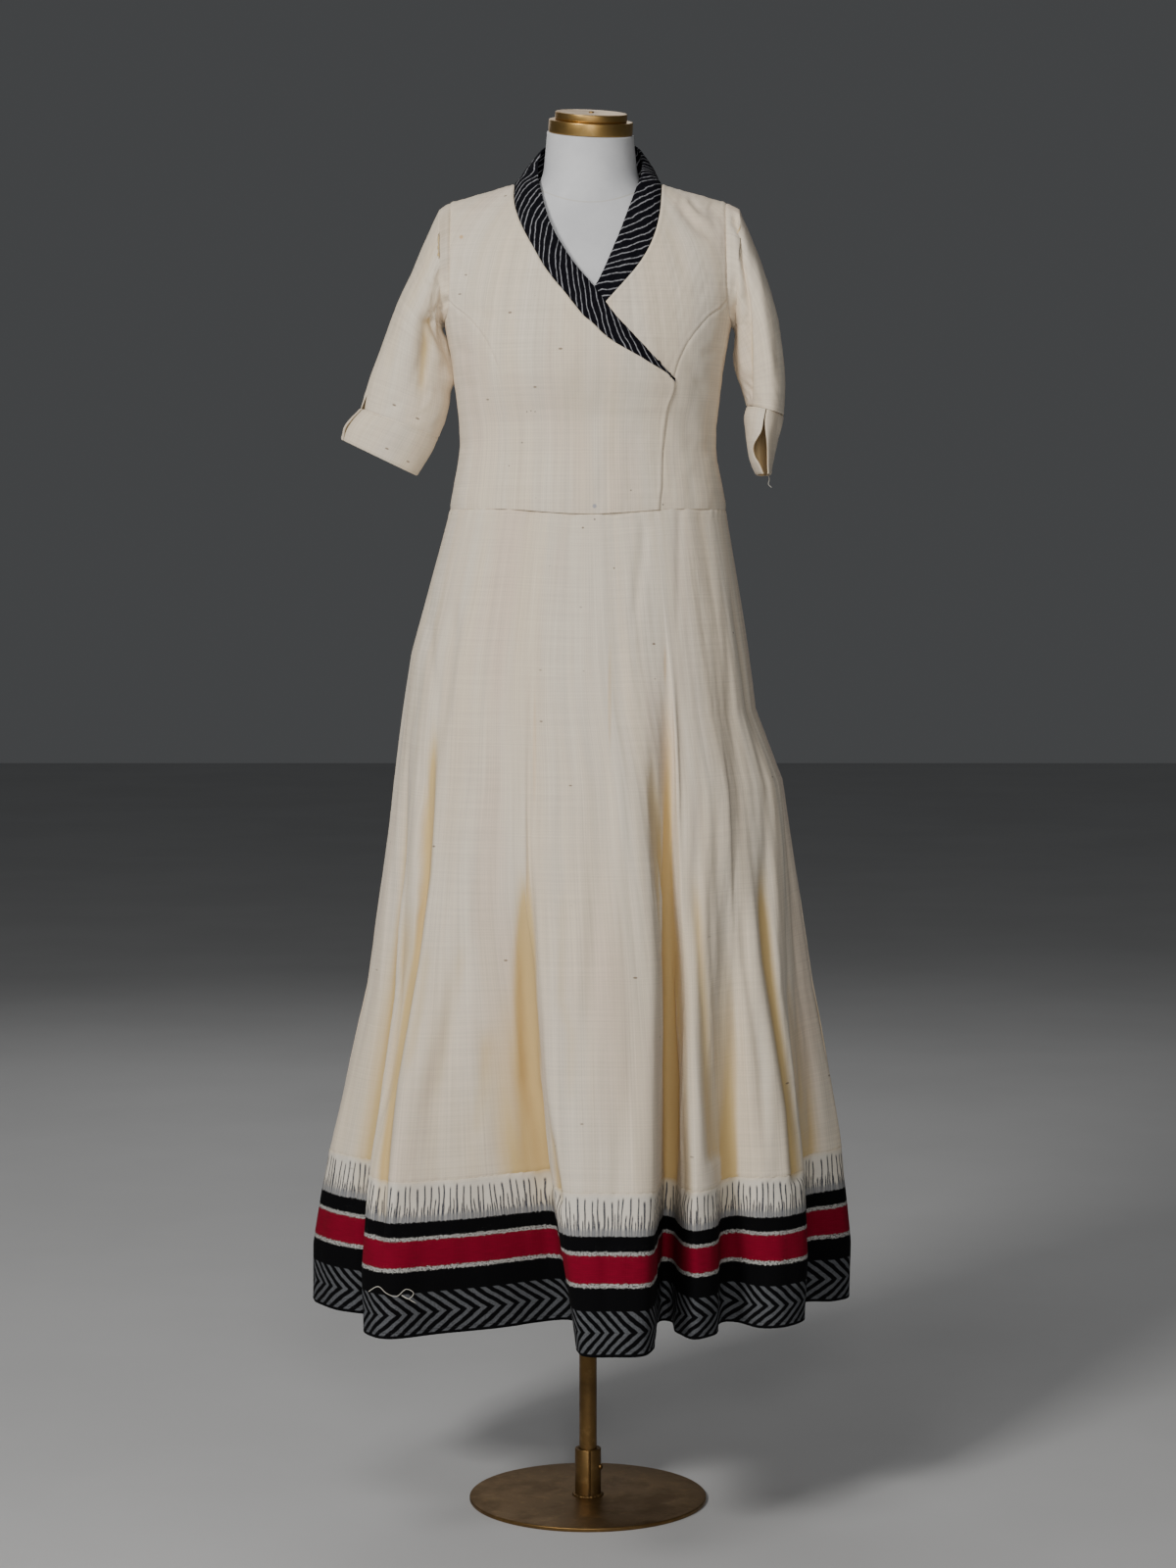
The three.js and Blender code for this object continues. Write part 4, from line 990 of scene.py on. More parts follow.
@dataclass(frozen=True)
class FormShell:
    """The form's smooth white shell, a little mottled and rubbed, with a glued seam at the neck."""

    white: Colour = (0.66, 0.665, 0.675)
    shade: Colour = (0.6, 0.605, 0.62)
    glue: Colour = (0.52, 0.47, 0.34)
    seam_z: float = 1.6238
    seam_sag: float = 4.5  # rise per square metre away from the middle
    name: str = "form_shell"

    def material(self) -> Material:
        """The finished material."""
        s = Shader(self.name)
        place = s.place()
        mottle = s.rise(s.noise(place, 22.0, 4.0, 0.6), 0.35, 0.7)
        x, y, z = s.split(place)
        off = x - NECK_X * MM
        away = (z - (self.seam_z + off * off * self.seam_sag)).size()
        seam = s.rise(away, 0.0011, 0.0005) * s.rise(y, 0.0, -0.03) * 0.4
        colour = s.mix(seam, s.mix(mottle, self.white, self.shade), self.glue)
        rough = 0.42 + s.noise(place, 60.0, 3.0) * 0.22
        return s.finish(colour, rough, s.noise(place, 900.0), 0.00006, Specular_IOR_Level=0.4)


@dataclass(frozen=True)
class Metal:
    """A brushed or painted metal whose colour wears along small marks."""

    name: str
    tone: Colour
    worn: Colour
    grime: Colour
    roughness: float
    metallic: float
    brush: float = 1400.0
    brush_length: float = 6.0

    def material(self) -> Material:
        """The finished material."""
        s = Shader(self.name)
        place = s.place()
        x, y, z = s.split(place)
        stroke = s.noise(s.join(x * self.brush_length, y * self.brush_length, z * self.brush), 1.0)
        marks = s.rise(s.noise(place, 75.0, 5.0, 0.65), 0.5, 0.68)
        dull = s.rise(s.noise(place, 16.0, 4.0, 0.6), 0.42, 0.66)
        colour = s.mix(dull * 0.55, s.mix(marks * 0.45, self.tone, self.worn), self.grime)
        rough = self.roughness + (dull + stroke) * 0.14
        return s.finish(colour, rough, stroke * 0.6 + marks * 0.4, 0.00007, Metallic=self.metallic)


BRASS = Metal("aged_brass", (0.52, 0.33, 0.115), (0.62, 0.44, 0.2), (0.3, 0.17, 0.06), 0.3, 1.0)
BRONZE = Metal("bronze_stand", (0.2, 0.118, 0.042), (0.34, 0.215, 0.085), (0.11, 0.067, 0.03), 0.34, 0.9,
               300.0)


@dataclass(frozen=True)
class Thread:
    """Twisted sewing thread of one colour."""

    name: str
    colour: Colour

    def material(self) -> Material:
        """The finished material."""
        s = Shader(self.name)
        ply = s.noise(s.place(), 2600.0, 1.0)
        return s.finish(s.shade(self.colour, 0.75 + ply * 0.5), 0.8, ply, 0.0001, Specular_IOR_Level=0.3)


# ---- the bodice surface


BODICE_ROWS = Table("h halfWidth front back square", [
    (0.0, 171, 112, 108, 2.3), (0.07, 167, 110, 104, 2.3), (0.17, 160, 105, 95, 2.3),
    (0.26, 159, 105, 91, 2.3), (0.34, 162, 114, 94, 2.3), (0.4, 165, 120, 99, 2.3),
    (0.48, 169, 120, 105, 2.4), (0.6, 177, 109, 112, 2.6), (0.7, 184, 96, 112, 2.8),
    (0.8, 188, 82, 106, 2.8), (0.9, 190, 66, 88, 2.8), (1.0, 190, 52, 72, 2.8),
])
PRINCESS_LEFT = ((86, 1243), (89, 1280), (91, 1332), (96, 1370), (104, 1405), (111, 1430),
                 (126, 1458), (148, 1485), (170, 1505))
PRINCESS_RIGHT = ((-98, 1243), (-101, 1280), (-103, 1332), (-106, 1384), (-108, 1410),
                  (-115, 1434), (-128, 1460), (-149, 1485), (-170, 1505))
ARMHOLE = ((177, 0.6), (174, 0.625), (171.5, 0.66), (170, 0.72), (170, 0.8), (170, 0.9), (170, 1.0))
WRAP_EDGE = ((104, 1405), (64, 1432), (27, 1453), (3, 1475), (-21, 1502), (-46, 1534), (-63, 1562),
             (-77, 1588), (-87, 1612), (-91, 1630), (-91, 1650.5))
UNDER_EDGE = ((-34, 1243), (-34, 1390), (-22, 1440), (0, 1474), (21, 1499), (37, 1517), (52, 1534),
              (66, 1553), (76, 1571), (83, 1590), (88, 1613), (90, 1632), (91, 1650.5))
BACK_NECKLINE = Table("x h", [(91, 1.0), (88, 0.982), (74, 0.962), (42, 0.944), (0, 0.938)])


@dataclass(frozen=True)
class BodiceForm:
    """The surface that every bodice panel and the collar lie on."""

    peak_z: float = 1676.0
    slope: float = 0.28
    shoulder_y: float = 5.0
    lean: tuple[float, float] = (0.45, 0.4)
    dip_depth: float = 6.0
    dip_half_width: float = 115.0
    dip_fade: float = 0.2
    front_rounding: float = 0.8
    back_rounding: float = 0.86
    overlap: float = 1.9

    def shoulder_z(self, x: Array) -> Array:
        """Height of the shoulder line."""
        return self.peak_z - self.slope * np.abs(x)

    def waist_dip(self, x: Array) -> Array:
        """How far the waist seam hangs below its height at the sides."""
        return self.dip_depth * np.maximum(0, 1 - (x / self.dip_half_width) ** 2) ** 2

    def depth(self, h: Array, side: Side) -> Array:
        """Depth at a height, which curves to nothing at the shoulder seam."""
        start = self.front_rounding if side is Side.FRONT else self.back_rounding
        turn = np.clip((h - start) / (1 - start), 0, 1)
        return BODICE_ROWS.smooth("h", h, side.value) * np.sqrt(1 - turn * turn)

    def angle_of(self, x: Array, h: Array) -> Array:
        """Angle, from the front or the back middle, at which the bodice has this x."""
        ratio = np.clip(np.abs(x) / BODICE_ROWS.smooth("h", h, "halfWidth"), 0, 1)
        return np.sign(x) * np.arcsin(ratio ** (BODICE_ROWS.smooth("h", h, "square") / 2))

    def place(self, x: Array, z: Array) -> tuple[Array, Array]:
        """Angle and height fraction of places given by x and z."""
        h = np.clip((z - WAIST_Z) / (self.shoulder_z(x) - WAIST_Z), 0, 1)
        return self.angle_of(x, h), h

    def point(self, angle: Array, h: Array, side: Side, lift: Array = 0.0) -> Array:
        """Points of the bodice.

        Args:
            angle: Angles from -90 to 90 degrees over the front or the back.
            h: Height fractions.
            side: Front or back.
            lift: How far the points lie outside the surface.

        Returns:
            The points.
        """
        angle, h = np.asarray(angle, float), np.asarray(h, float)
        half_width = BODICE_ROWS.smooth("h", h, "halfWidth") + lift
        depth = self.depth(h, side) + np.where(h < 1, lift, 0)
        power = 2 / BODICE_ROWS.smooth("h", h, "square")
        x = half_width * np.sign(angle) * np.abs(np.sin(angle)) ** power
        reach = depth * np.abs(np.cos(angle)) ** power + SEAM_GAP / 2
        middle = self.shoulder_y * np.clip((h - self.lean[0]) / self.lean[1], 0, 1)
        front = side is Side.FRONT
        dip = self.waist_dip(x) * (1 - np.clip(h / self.dip_fade, 0, 1)) ** 2 if front else 0
        z = WAIST_Z + (self.shoulder_z(x) - WAIST_Z) * h - dip
        return stack(x, middle - reach if front else middle + reach, z)

    def beside(self, angle: Array, h: Array, side: Side, distance: float) -> Array:
        """The angle at a distance in millimetres to one side of an edge."""
        step, slowest = 1e-3, 20.0
        moved = self.point(angle + step, h, side) - self.point(angle, h, side)
        speed = np.linalg.norm(moved, axis=-1) / step
        return angle + distance / np.maximum(speed, slowest)

    def wrap_lift(self, angle: Array, h: Array) -> Array:
        """How far the wrap's upper front lies off the lower one."""
        return self.overlap * smoothstep(angle, -0.62, -0.3) * (1 - smoothstep(h, 0.8, 0.97))


FORM = BodiceForm()


PIPED_EDGE = Hem(tuck=0.35, width=1.0, ridge=0.75)
PRINCESS_SEAM = Hem(tuck=0.35, width=1.4, ridge=0.45, pucker=0.12)
HIDDEN_SEAM = Hem(tuck=1.25, width=2.3, ridge=0.2)


def edge_by_height(points: Sequence[tuple[float, float]]) -> Edge:
    """An edge given as x, z points, read by height fraction."""
    x, z = np.array(points, float).T
    angle, h = FORM.place(x, z)
    rows = Table("h angle", list(zip(h, angle)))
    return lambda height: rows.smooth("h", height, "angle")


def rounded(start: float, count: int) -> Array:
    """Heights over the shoulder's rounding, closer and closer up to the shoulder seam."""
    return start + (1 - start) * np.sin(np.linspace(0, math.pi / 2, count))


class Seams:
    """The edges that the bodice's pieces share."""

    front_steps = (6, 13, 3, 6)

    def __init__(self) -> None:
        """Works out the edges from their tables."""
        x, h = np.array(ARMHOLE, float).T
        angle = FORM.angle_of(x, h)
        self.underarm = float(h[0])
        self._armhole = Table("h angle", list(zip(h, angle)))
        self._armhole_front = Table("angle h", list(zip(angle, h))[3::-1])
        self.junction = float(FORM.place(*np.array(PRINCESS_LEFT[-1], float))[1])
        self.wrap_tip = float(FORM.place(*np.array(WRAP_EDGE[0], float))[1])
        below = tuple(p for p in PRINCESS_LEFT if p[1] < WRAP_EDGE[0][1])
        self.wrap = edge_by_height(below + WRAP_EDGE)
        self.under = edge_by_height(UNDER_EDGE)
        self.princess_left = self.princess(PRINCESS_LEFT, 1)
        self.princess_right = self.princess(PRINCESS_RIGHT, -1)

    def armhole(self, h: Array) -> Array:
        """Angle of the armhole's edge at a height."""
        return self._armhole.smooth("h", h, "angle")

    def armhole_height(self, angle: Array) -> Array:
        """Height of the armhole's edge under the princess seam."""
        return self._armhole_front.smooth("angle", np.abs(angle), "h")

    def side_edge(self, h: Array) -> Array:
        """Side edge of the back: the side seam, then the armhole."""
        return np.where(h <= self.underarm, math.pi / 2, self.armhole(h))

    def princess(self, points: Sequence[tuple[float, float]], sign: int) -> Edge:
        """A side edge that is the princess seam up to the armhole."""
        curve = edge_by_height(points)
        return lambda h: np.where(h <= self.junction, curve(h), sign * self.armhole(h))

    def front_rows(self, fine: int) -> Array:
        """Heights of the fronts' rows, each of the solid's steps cut into some more."""
        marks = (0, self.wrap_tip, self.junction, FORM.front_rounding)
        level = [np.linspace(low, high, count * fine, endpoint=False)
                 for low, high, count in zip(marks, marks[1:], self.front_steps)]
        return np.concatenate([*level, rounded(FORM.front_rounding, self.front_steps[-1] * fine + 1)])


SEAMS = Seams()


def neckline(turn: Array) -> tuple[Array, Array]:
    """Angle and height along the back neckline, from the shoulder (0) to the centre back (1)."""
    position = np.asarray(turn, float) * BACK_NECKLINE.last
    h = BACK_NECKLINE.at("h", position)
    return FORM.angle_of(BACK_NECKLINE.at("x", position), h), h


@dataclass
class Bodice:
    """The five panels of the bodice, sewn along the princess, side and shoulder seams."""

    thickness: float = 1.0
    columns: int = 84
    under_columns: int = 60
    side_columns: int = 40
    back_columns: int = 140
    back_rows: tuple[int, int] = (84, 25)
    fine: int = 4
    tucked_in: float = 1.4
    window: float = 130.0
    waves: Waves = ((0.35, (46, 120)), (0.18, (17, 31)))
    creases_right: tuple[Crease, ...] = (
        Crease(((-104, 1640), (-112, 1600), (-120, 1560)), 9, 1.0),
        Crease(((-60, 1290), (-20, 1340), (30, 1385)), 16, 0.7),
        Crease(((-80, 1262), (-60, 1300), (-52, 1350)), 11, 0.6),
        Crease(((-150, 1500), (-128, 1486), (-104, 1480)), 9, 1.7),
        Crease(((-166, 1560), (-150, 1540), (-138, 1510)), 8, 1.6),
        Crease(((60, 1258), (52, 1300), (54, 1350)), 10, 0.7),
        Crease(((20, 1256), (18, 1290), (10, 1330)), 9, 0.5),
    )
    creases_left: tuple[Crease, ...] = (
        Crease(((108, 1630), (120, 1611), (132, 1596), (147, 1584), (156, 1575)), 6, 3.2),
        Crease(((114, 1634), (126, 1618), (141, 1603), (155, 1592)), 6, -2.0),
        Crease(((120, 1628), (129, 1625), (137, 1615), (147, 1613)), 5, 2.0),
        Crease(((146, 1624), (154, 1616), (158, 1606)), 7, 2.2),
        Crease(((96, 1600), (112, 1560), (118, 1520)), 10, 1.6),
        Crease(((161, 1604), (163, 1580), (161, 1560)), 4, -0.9),
        Crease(((150, 1520), (138, 1512), (124, 1508)), 8, 0.8),
    )
    creases_side_left: tuple[Crease, ...] = (
        Crease(((166, 1452), (150, 1440), (136, 1436)), 7, 1.3),
        Crease(((162, 1420), (146, 1404), (128, 1398)), 8, 1.1),
        Crease(((158, 1330), (140, 1322), (112, 1330)), 9, 0.9),
        Crease(((160, 1280), (140, 1290), (112, 1286)), 9, 0.9),
        Crease(((-70, 1470), (-40, 1440), (0, 1420)), 9, 1.2, Facing.LEFT),
        Crease(((-60, 1330), (-20, 1316), (10, 1320)), 9, 1.0, Facing.LEFT),
    )
    creases_side_right: tuple[Crease, ...] = (
        Crease(((-166, 1450), (-150, 1438), (-134, 1436)), 7, 1.4),
        Crease(((-162, 1404), (-146, 1398), (-126, 1402)), 8, 1.0),
        Crease(((-158, 1340), (-140, 1330), (-118, 1336)), 9, 1.0),
        Crease(((-166, 1272), (-146, 1284), (-116, 1280)), 9, 0.9),
        Crease(((-70, 1462), (-40, 1436), (0, 1424)), 9, 1.2, Facing.RIGHT),
        Crease(((-60, 1320), (-20, 1330), (10, 1318)), 9, 1.0, Facing.RIGHT),
    )
    creases_back: tuple[Crease, ...] = (
        Crease(((-150, 1560), (-110, 1520), (-60, 1500)), 14, 1.6, Facing.BACK),
        Crease(((150, 1566), (112, 1530), (70, 1500)), 14, 1.8, Facing.BACK),
        Crease(((-120, 1360), (-70, 1330), (-10, 1322)), 12, 1.5, Facing.BACK),
        Crease(((126, 1352), (80, 1336), (16, 1340)), 12, 1.4, Facing.BACK),
        Crease(((-96, 1260), (-84, 1300), (-90, 1350)), 11, 1.2, Facing.BACK),
        Crease(((88, 1258), (78, 1310), (86, 1370)), 11, 1.3, Facing.BACK),
        Crease(((-30, 1440), (-26, 1500), (-40, 1560)), 15, 1.0, Facing.BACK),
        Crease(((34, 1420), (28, 1480), (46, 1545)), 15, 1.1, Facing.BACK),
        Crease(((-60, 1610), (0, 1596), (58, 1608)), 12, 1.2, Facing.BACK),
    )

    def panel(self, left: Edge, right: Edge, rows: Array, across: Array, side: Side = Side.FRONT,
              lift: Field | None = None, height_at: Field | None = None,
              under: tuple[float, float] = (-SEAM_GAP / 2, -SEAM_GAP / 2)) -> Grid:
        """A panel between two edges, each an angle by height.

        Args:
            left: The edge where the shares across start.
            right: The edge where they end.
            rows: Heights of the rows.
            across: Shares of the panel's width.
            side: Front or back.
            lift: How far the panel lies outside the bodice, by angle and height.
            height_at: Height of a row at a share across, where the rows aren't level.
            under: How far the panel reaches under its neighbours at the two edges.

        Returns:
            The panel's outer face.
        """
        u, row = across[None, :], rows[:, None]
        height = height_at or (lambda _, level: level)
        h = height(u, row) + 0 * u
        start = FORM.beside(left(height(0 * u, row)) + 0 * u, h, side, -under[0])
        end = FORM.beside(right(height(0 * u + 1, row)) + 0 * u, h, side, under[1])
        angle = lerp(start, end, u)
        grid = Grid(FORM.point(angle, h, side, lift(angle, h) if lift else 0.0))
        return grid if side is Side.FRONT else Grid(grid.points[:, ::-1])

    def soften(self, grid: Grid, creases: Sequence[Crease], seed: int) -> Grid:
        """Presses the creases and a slight unevenness into a panel."""
        x, z = grid.points[..., 0], grid.points[..., 2]
        return grid.push(ripples(x, z, seed, self.waves)).creased(creases)

    def front_right(self) -> Grid:
        """The wrap's upper front."""
        grid = self.panel(SEAMS.princess_right, SEAMS.wrap, SEAMS.front_rows(self.fine),
                          graded(self.columns, 0.004), lift=FORM.wrap_lift)
        return self.soften(grid, self.creases_right, 3).edged(
            Hem(tuck=0.5, pucker=0.35, pitch=16), SEAM, PRINCESS_SEAM, PIPED_EDGE, 5)

    def front_left(self) -> Grid:
        """The lower front, most of it under the wrap."""
        grid = self.panel(SEAMS.under, SEAMS.princess_left, SEAMS.front_rows(self.fine),
                          graded(self.under_columns, 0.006))
        return self.soften(grid, self.creases_left, 13).edged(
            SEAM, SEAM, PIPED_EDGE, PRINCESS_SEAM, 6)

    def side_front(self, princess: Edge, sign: int) -> Grid:
        """A side front: from the waist up to the front of the armhole."""
        corner = SEAMS.armhole(np.array(SEAMS.junction))

        def side_seam(h: Array) -> Array:
            """The side seam's angle."""
            return np.full_like(h, sign * math.pi / 2, dtype=float)

        def height_at(u: Array, row: Array) -> Array:
            """The rows rise to the armhole's curve."""
            angle = lerp(corner, math.pi / 2, u if sign > 0 else 1 - u)
            return row / SEAMS.junction * SEAMS.armhole_height(angle)

        rows = SEAMS.front_rows(self.fine)
        edges = ((princess, self.tucked_in, HIDDEN_SEAM), (side_seam, -SEAM_GAP / 2, SEAM))[::sign]
        (left, right), under, hems = zip(*edges)
        grid = self.panel(left, right, rows[rows <= SEAMS.junction + 1e-9],
                          graded(self.side_columns, 0.01), height_at=height_at, under=under)
        creases = self.creases_side_left if sign > 0 else self.creases_side_right
        return self.soften(grid, creases, 20 + sign).edged(
            Hem(tuck=0.5, pucker=0.3, pitch=14), Hem(tuck=0.4, pucker=0.2), *hems, 8 + sign)

    def back(self) -> Grid:
        """The back, with its curved neckline between the shoulder seams."""
        end = float(SEAMS.armhole(np.array(1.0)))
        angles, heights = neckline(np.linspace(0, 1, 41))
        curve = Table("angle h", list(zip(angles[::-1], heights[::-1])))
        corner = float(angles[0])

        def height_at(u: Array, row: Array) -> Array:
            """The rows sink to the neckline's curve."""
            angle = np.abs(lerp(-end, end, u))
            return row * np.where(angle > corner, 1.0, curve.look_up("angle", angle, "h"))

        rounding, (level, turned) = FORM.back_rounding, self.back_rows
        rows = np.concatenate([np.linspace(0, rounding, level, endpoint=False),
                               rounded(rounding, turned)])
        corners = np.array([end - corner, end + corner]) / (2 * end)
        across = np.unique(np.concatenate([graded(self.back_columns, 0.003), corners]))
        grid = self.panel(lambda h: -SEAMS.side_edge(h), SEAMS.side_edge, rows, across, Side.BACK,
                          height_at=height_at)
        return self.soften(grid, self.creases_back, 31).edged(
            Hem(tuck=0.5, pucker=0.35, pitch=15), SEAM, SEAM, SEAM, 9)

    def build(self, cotton: Material) -> None:
        grids = {
            "front_right": self.front_right(),
            "front_left": self.front_left(),
            "side_front_right": self.side_front(SEAMS.princess_right, -1),
            "side_front_left": self.side_front(SEAMS.princess_left, 1),
            "back_bodice": self.back(),
        }
        for node, grid in grids.items():
            piece = shell(f"{node}_cloth", grid, Layout.level(grid), self.thickness, self.window)
            dress(piece, cotton, "cotton", node)


# ---- collar


COLLAR_RIGHT = Table("seamZ x z off crown", [
    (1403.6, 103, 1406.5, 0, 0.2), (1409, 96, 1415.5, 0, 0.6), (1421, 82, 1432, 0, 1),
    (1434, 66, 1450, 0, 2), (1446, 46, 1470, 0, 2.5), (1461, 29, 1488, 0, 3),
    (1482, 14, 1511, 0.5, 3), (1506, -6, 1534, 1, 3), (1531, -22, 1555, 1, 3),
    (1558, -37, 1579, 1, 3), (1586, -48, 1602, 1, 3.5), (1612, -54, 1624, 3, 4), (1632, -58, 1643, 8, 4.5),
    (1650.5, -62, 1660, 14, 5),
])
COLLAR_LEFT = Table("seamZ x z off crown", [
    (1458, -20, 1480, 0, 0), (1482, -5, 1500, 0, 0), (1501, 9, 1519, 0, 0), (1520, 19, 1540, 0.5, 1.5),
    (1538, 28, 1561, 1, 3), (1558, 37, 1583, 1, 3), (1582, 46, 1607, 1, 3.5), (1612, 54, 1630, 4, 4),
    (1632, 60, 1646, 9, 4.5), (1650.5, 65, 1661, 14, 5),
])
COLLAR_BACK = ((0.2, 66, 9, 1682, 7), (0.4, 64, 36, 1700, 8), (0.6, 52, 60, 1709, 6),
               (0.8, 28, 72, 1712, 4.5), (1.0, 0, 76, 1713, 4))


@dataclass
class Collar:
    """The shawl collar: one half on each front, joined at the centre back."""

    thickness: float = 1.7
    columns: int = 22
    rows: int = 190
    swell: tuple[float, float, float] = (0.8, -10.0, 20.0)
    trim: float = 0.01
    eased_rows: int = 70
    left_turn: float = 0.05  # radians between the two halves' cuts
    narrow: float = 16.0  # width below which the tips lift off the front
    window: float = 30.0
    inside: tuple[float, float, float] = (0, 10, -20)
    waves: Waves = ((0.3, (22, 48)), (0.16, (9, 17)))

    def ribs(self, edge: Edge, table: Table, side: int, lift: Field) -> Table:
        """The collar's ribs, from its front end to one beyond the centre back.

        Args:
            edge: The seam with the front.
            table: The free edge by the height of the seam.
            side: 1 for the wearer's right.
            lift: How far the front lies off the bodice.

        Returns:
            A table of seam and free points and crowns.
        """
        heights = SEAMS.front_rows(1)
        level = FORM.point(edge(heights), heights, Side.FRONT)[:, 2]
        h = heights[level > table.columns["seamZ"][0]]
        angle = edge(h)
        off = lift(angle, h)
        seam = FORM.point(FORM.beside(angle, h, Side.FRONT, side), h, Side.FRONT, off)

        def read(name: str) -> Array:
            """A column of the free edge's table, by the height of the seam."""
            return table.smooth("seamZ", seam[:, 2], name)

        ground = FORM.point(*FORM.place(read("x"), read("z")), Side.FRONT)
        free = stack(read("x"), ground[:, 1] - read("off") - off, read("z"))
        rows = [(*s, *f, c) for s, f, c in zip(seam, free, read("crown"))]
        for turn, x, y, z, crown in COLLAR_BACK:
            angle_back, h_back = neckline(turn)
            back = FORM.point(-side * angle_back, h_back, Side.BACK)
            rows.append((*back, NECK_X - side * x, y, z, crown))
        sx, sy, sz, fx, fy, fz, crown = rows[-2]
        rows.append((-sx, sy, sz, 2 * NECK_X - fx, fy, fz, crown))
        return Table("sx sy sz fx fy fz crown", rows)

    def half(self, edge: Edge, table: Table, side: int, lift: Field, seed: int) -> tuple[Grid, Layout]:
        """One half of the collar and its place on the flat cloth."""
        ribs = self.ribs(edge, table, side, lift)
        position = np.linspace(0, ribs.last - 1 - self.trim, self.rows)[:, None]
        u = graded(self.columns, 0.012)[None, :]
        seam, free = (stack(*(ribs.at(part + axis, position) for axis in "xyz")) for part in "sf")
        free = self.eased(free)
        seam = seam - unit(free - seam) * CURVED_SEAM_GAP
        point = lerp(seam, free, u[..., None])
        away = unit(point * np.array([self.swell[0], 1, 0]) + np.array([0, *self.swell[1:]]))
        point = point + away * (ribs.at("crown", position) * np.sin(math.pi * u))[..., None]
        grid = Grid(point[:, ::side], centre=np.array(self.inside))
        steps = np.linalg.norm(np.diff(point, axis=0), axis=-1)
        run = np.concatenate([[0], np.cumsum(steps[:, point.shape[1] // 2])])
        width = np.linalg.norm(free - seam, axis=-1)
        across = (u * width)[:, ::side]
        along = side * (run - run[-1])[:, None] + 0 * across
        if side < 0:
            turn = self.left_turn
            across, along = (across * math.cos(turn) + along * math.sin(turn),
                             along * math.cos(turn) - across * math.sin(turn))
        rolled = Hem(tuck=1.1, width=1.3, ridge=0.25, pucker=0.1, pitch=11)
        seamed = Hem(tuck=0.3, width=1.0, ridge=0.3, pucker=0.15, pitch=10)
        grid = grid.push(ripples(across, along, seed, self.waves))
        grid = grid.edged(None, None, *(seamed, rolled)[::side], seed)
        lifted = 1.0 - smoothstep(width, 0, self.narrow) + 0 * u
        return grid.push(lifted), Layout(across, along)

    def eased(self, free: Array) -> Array:
        """The free edge with its sharp turns at the shoulders smoothed out."""
        for _ in range(self.eased_rows):
            free = np.concatenate([free[:1], (free[:-2] + 2 * free[1:-1] + free[2:]) / 4, free[-1:]])
        return free

    def build(self, striped: Material) -> None:
        """Makes both halves."""
        halves = {
            "collar_right": self.half(SEAMS.wrap, COLLAR_RIGHT, 1, FORM.wrap_lift, 40),
            "collar_left": self.half(SEAMS.under, COLLAR_LEFT, -1, lambda angle, _: 0 * angle, 44),
        }
        for node, (grid, layout) in halves.items():
            piece = shell(f"{node}_cloth", grid, layout, self.thickness, self.window)
            dress(piece, striped, "stripe", node)


# ---- sleeves and cuffs


RING = "outerX outerZ innerX innerZ depth y shear"
SLEEVE_RIGHT = Table(RING, [
    (-184, 1619, -180.5, 1475, 55, 4, 0), (-198, 1588, -181.5, 1470, 56, 3, 2),
    (-216, 1545, -180.5, 1458, 56, 2, 6), (-236, 1500, -176, 1440, 54, 2, 9),
    (-254, 1454, -171, 1416, 50, 2, 8), (-270, 1414, -173, 1376, 44, 2, 3),
    (-282, 1375.5, -185.5, 1339.5, 41, 2, 0),
])
SLEEVE_LEFT = Table(RING, [
    (187, 1620, 181, 1474, 55, 4, 0), (203, 1582, 182.5, 1466, 57, 3, 2), (221, 1536, 182, 1454, 58, 2, 6),
    (233, 1493, 181.5, 1440, 59, 2, 9), (240, 1448, 185, 1420, 60, 2, 8), (243.5, 1405, 192, 1398, 59, 1, 5),
    (242, 1366, 197.5, 1378, 58, 0, 3),
])
CUFF_RING = "outerX outerZ innerX innerZ depth y slit gap"
CUFF_RIGHT = Table(CUFF_RING, [
    (-282.2, 1375.6, -185.7, 1339.6, 41, 2, 0.36, 0.05), (-294.5, 1364, -192, 1325, 39, 2, 0.36, 0.07),
    (-303.5, 1351, -201, 1310, 36, 2, 0.36, 0.07), (-306.5, 1337, -213, 1292, 33, 2, 0.36, 0.035),
])
CUFF_LEFT = Table(CUFF_RING, [
    (241.9, 1365.6, 197.4, 1377.6, 58, 0, 1.64, 0.03), (240.6, 1352, 194, 1365, 58, 0, 1.64, 0.04),
    (236.5, 1338, 195.7, 1347, 59, 0, 1.66, 0.16), (232.5, 1321, 198.5, 1323, 60, 0, 1.86, 0.6),
    (229, 1305, 203.5, 1305, 61, 0, 1.68, 0.47), (227, 1293, 210, 1293, 62, 0, 1.65, 0.44),
])


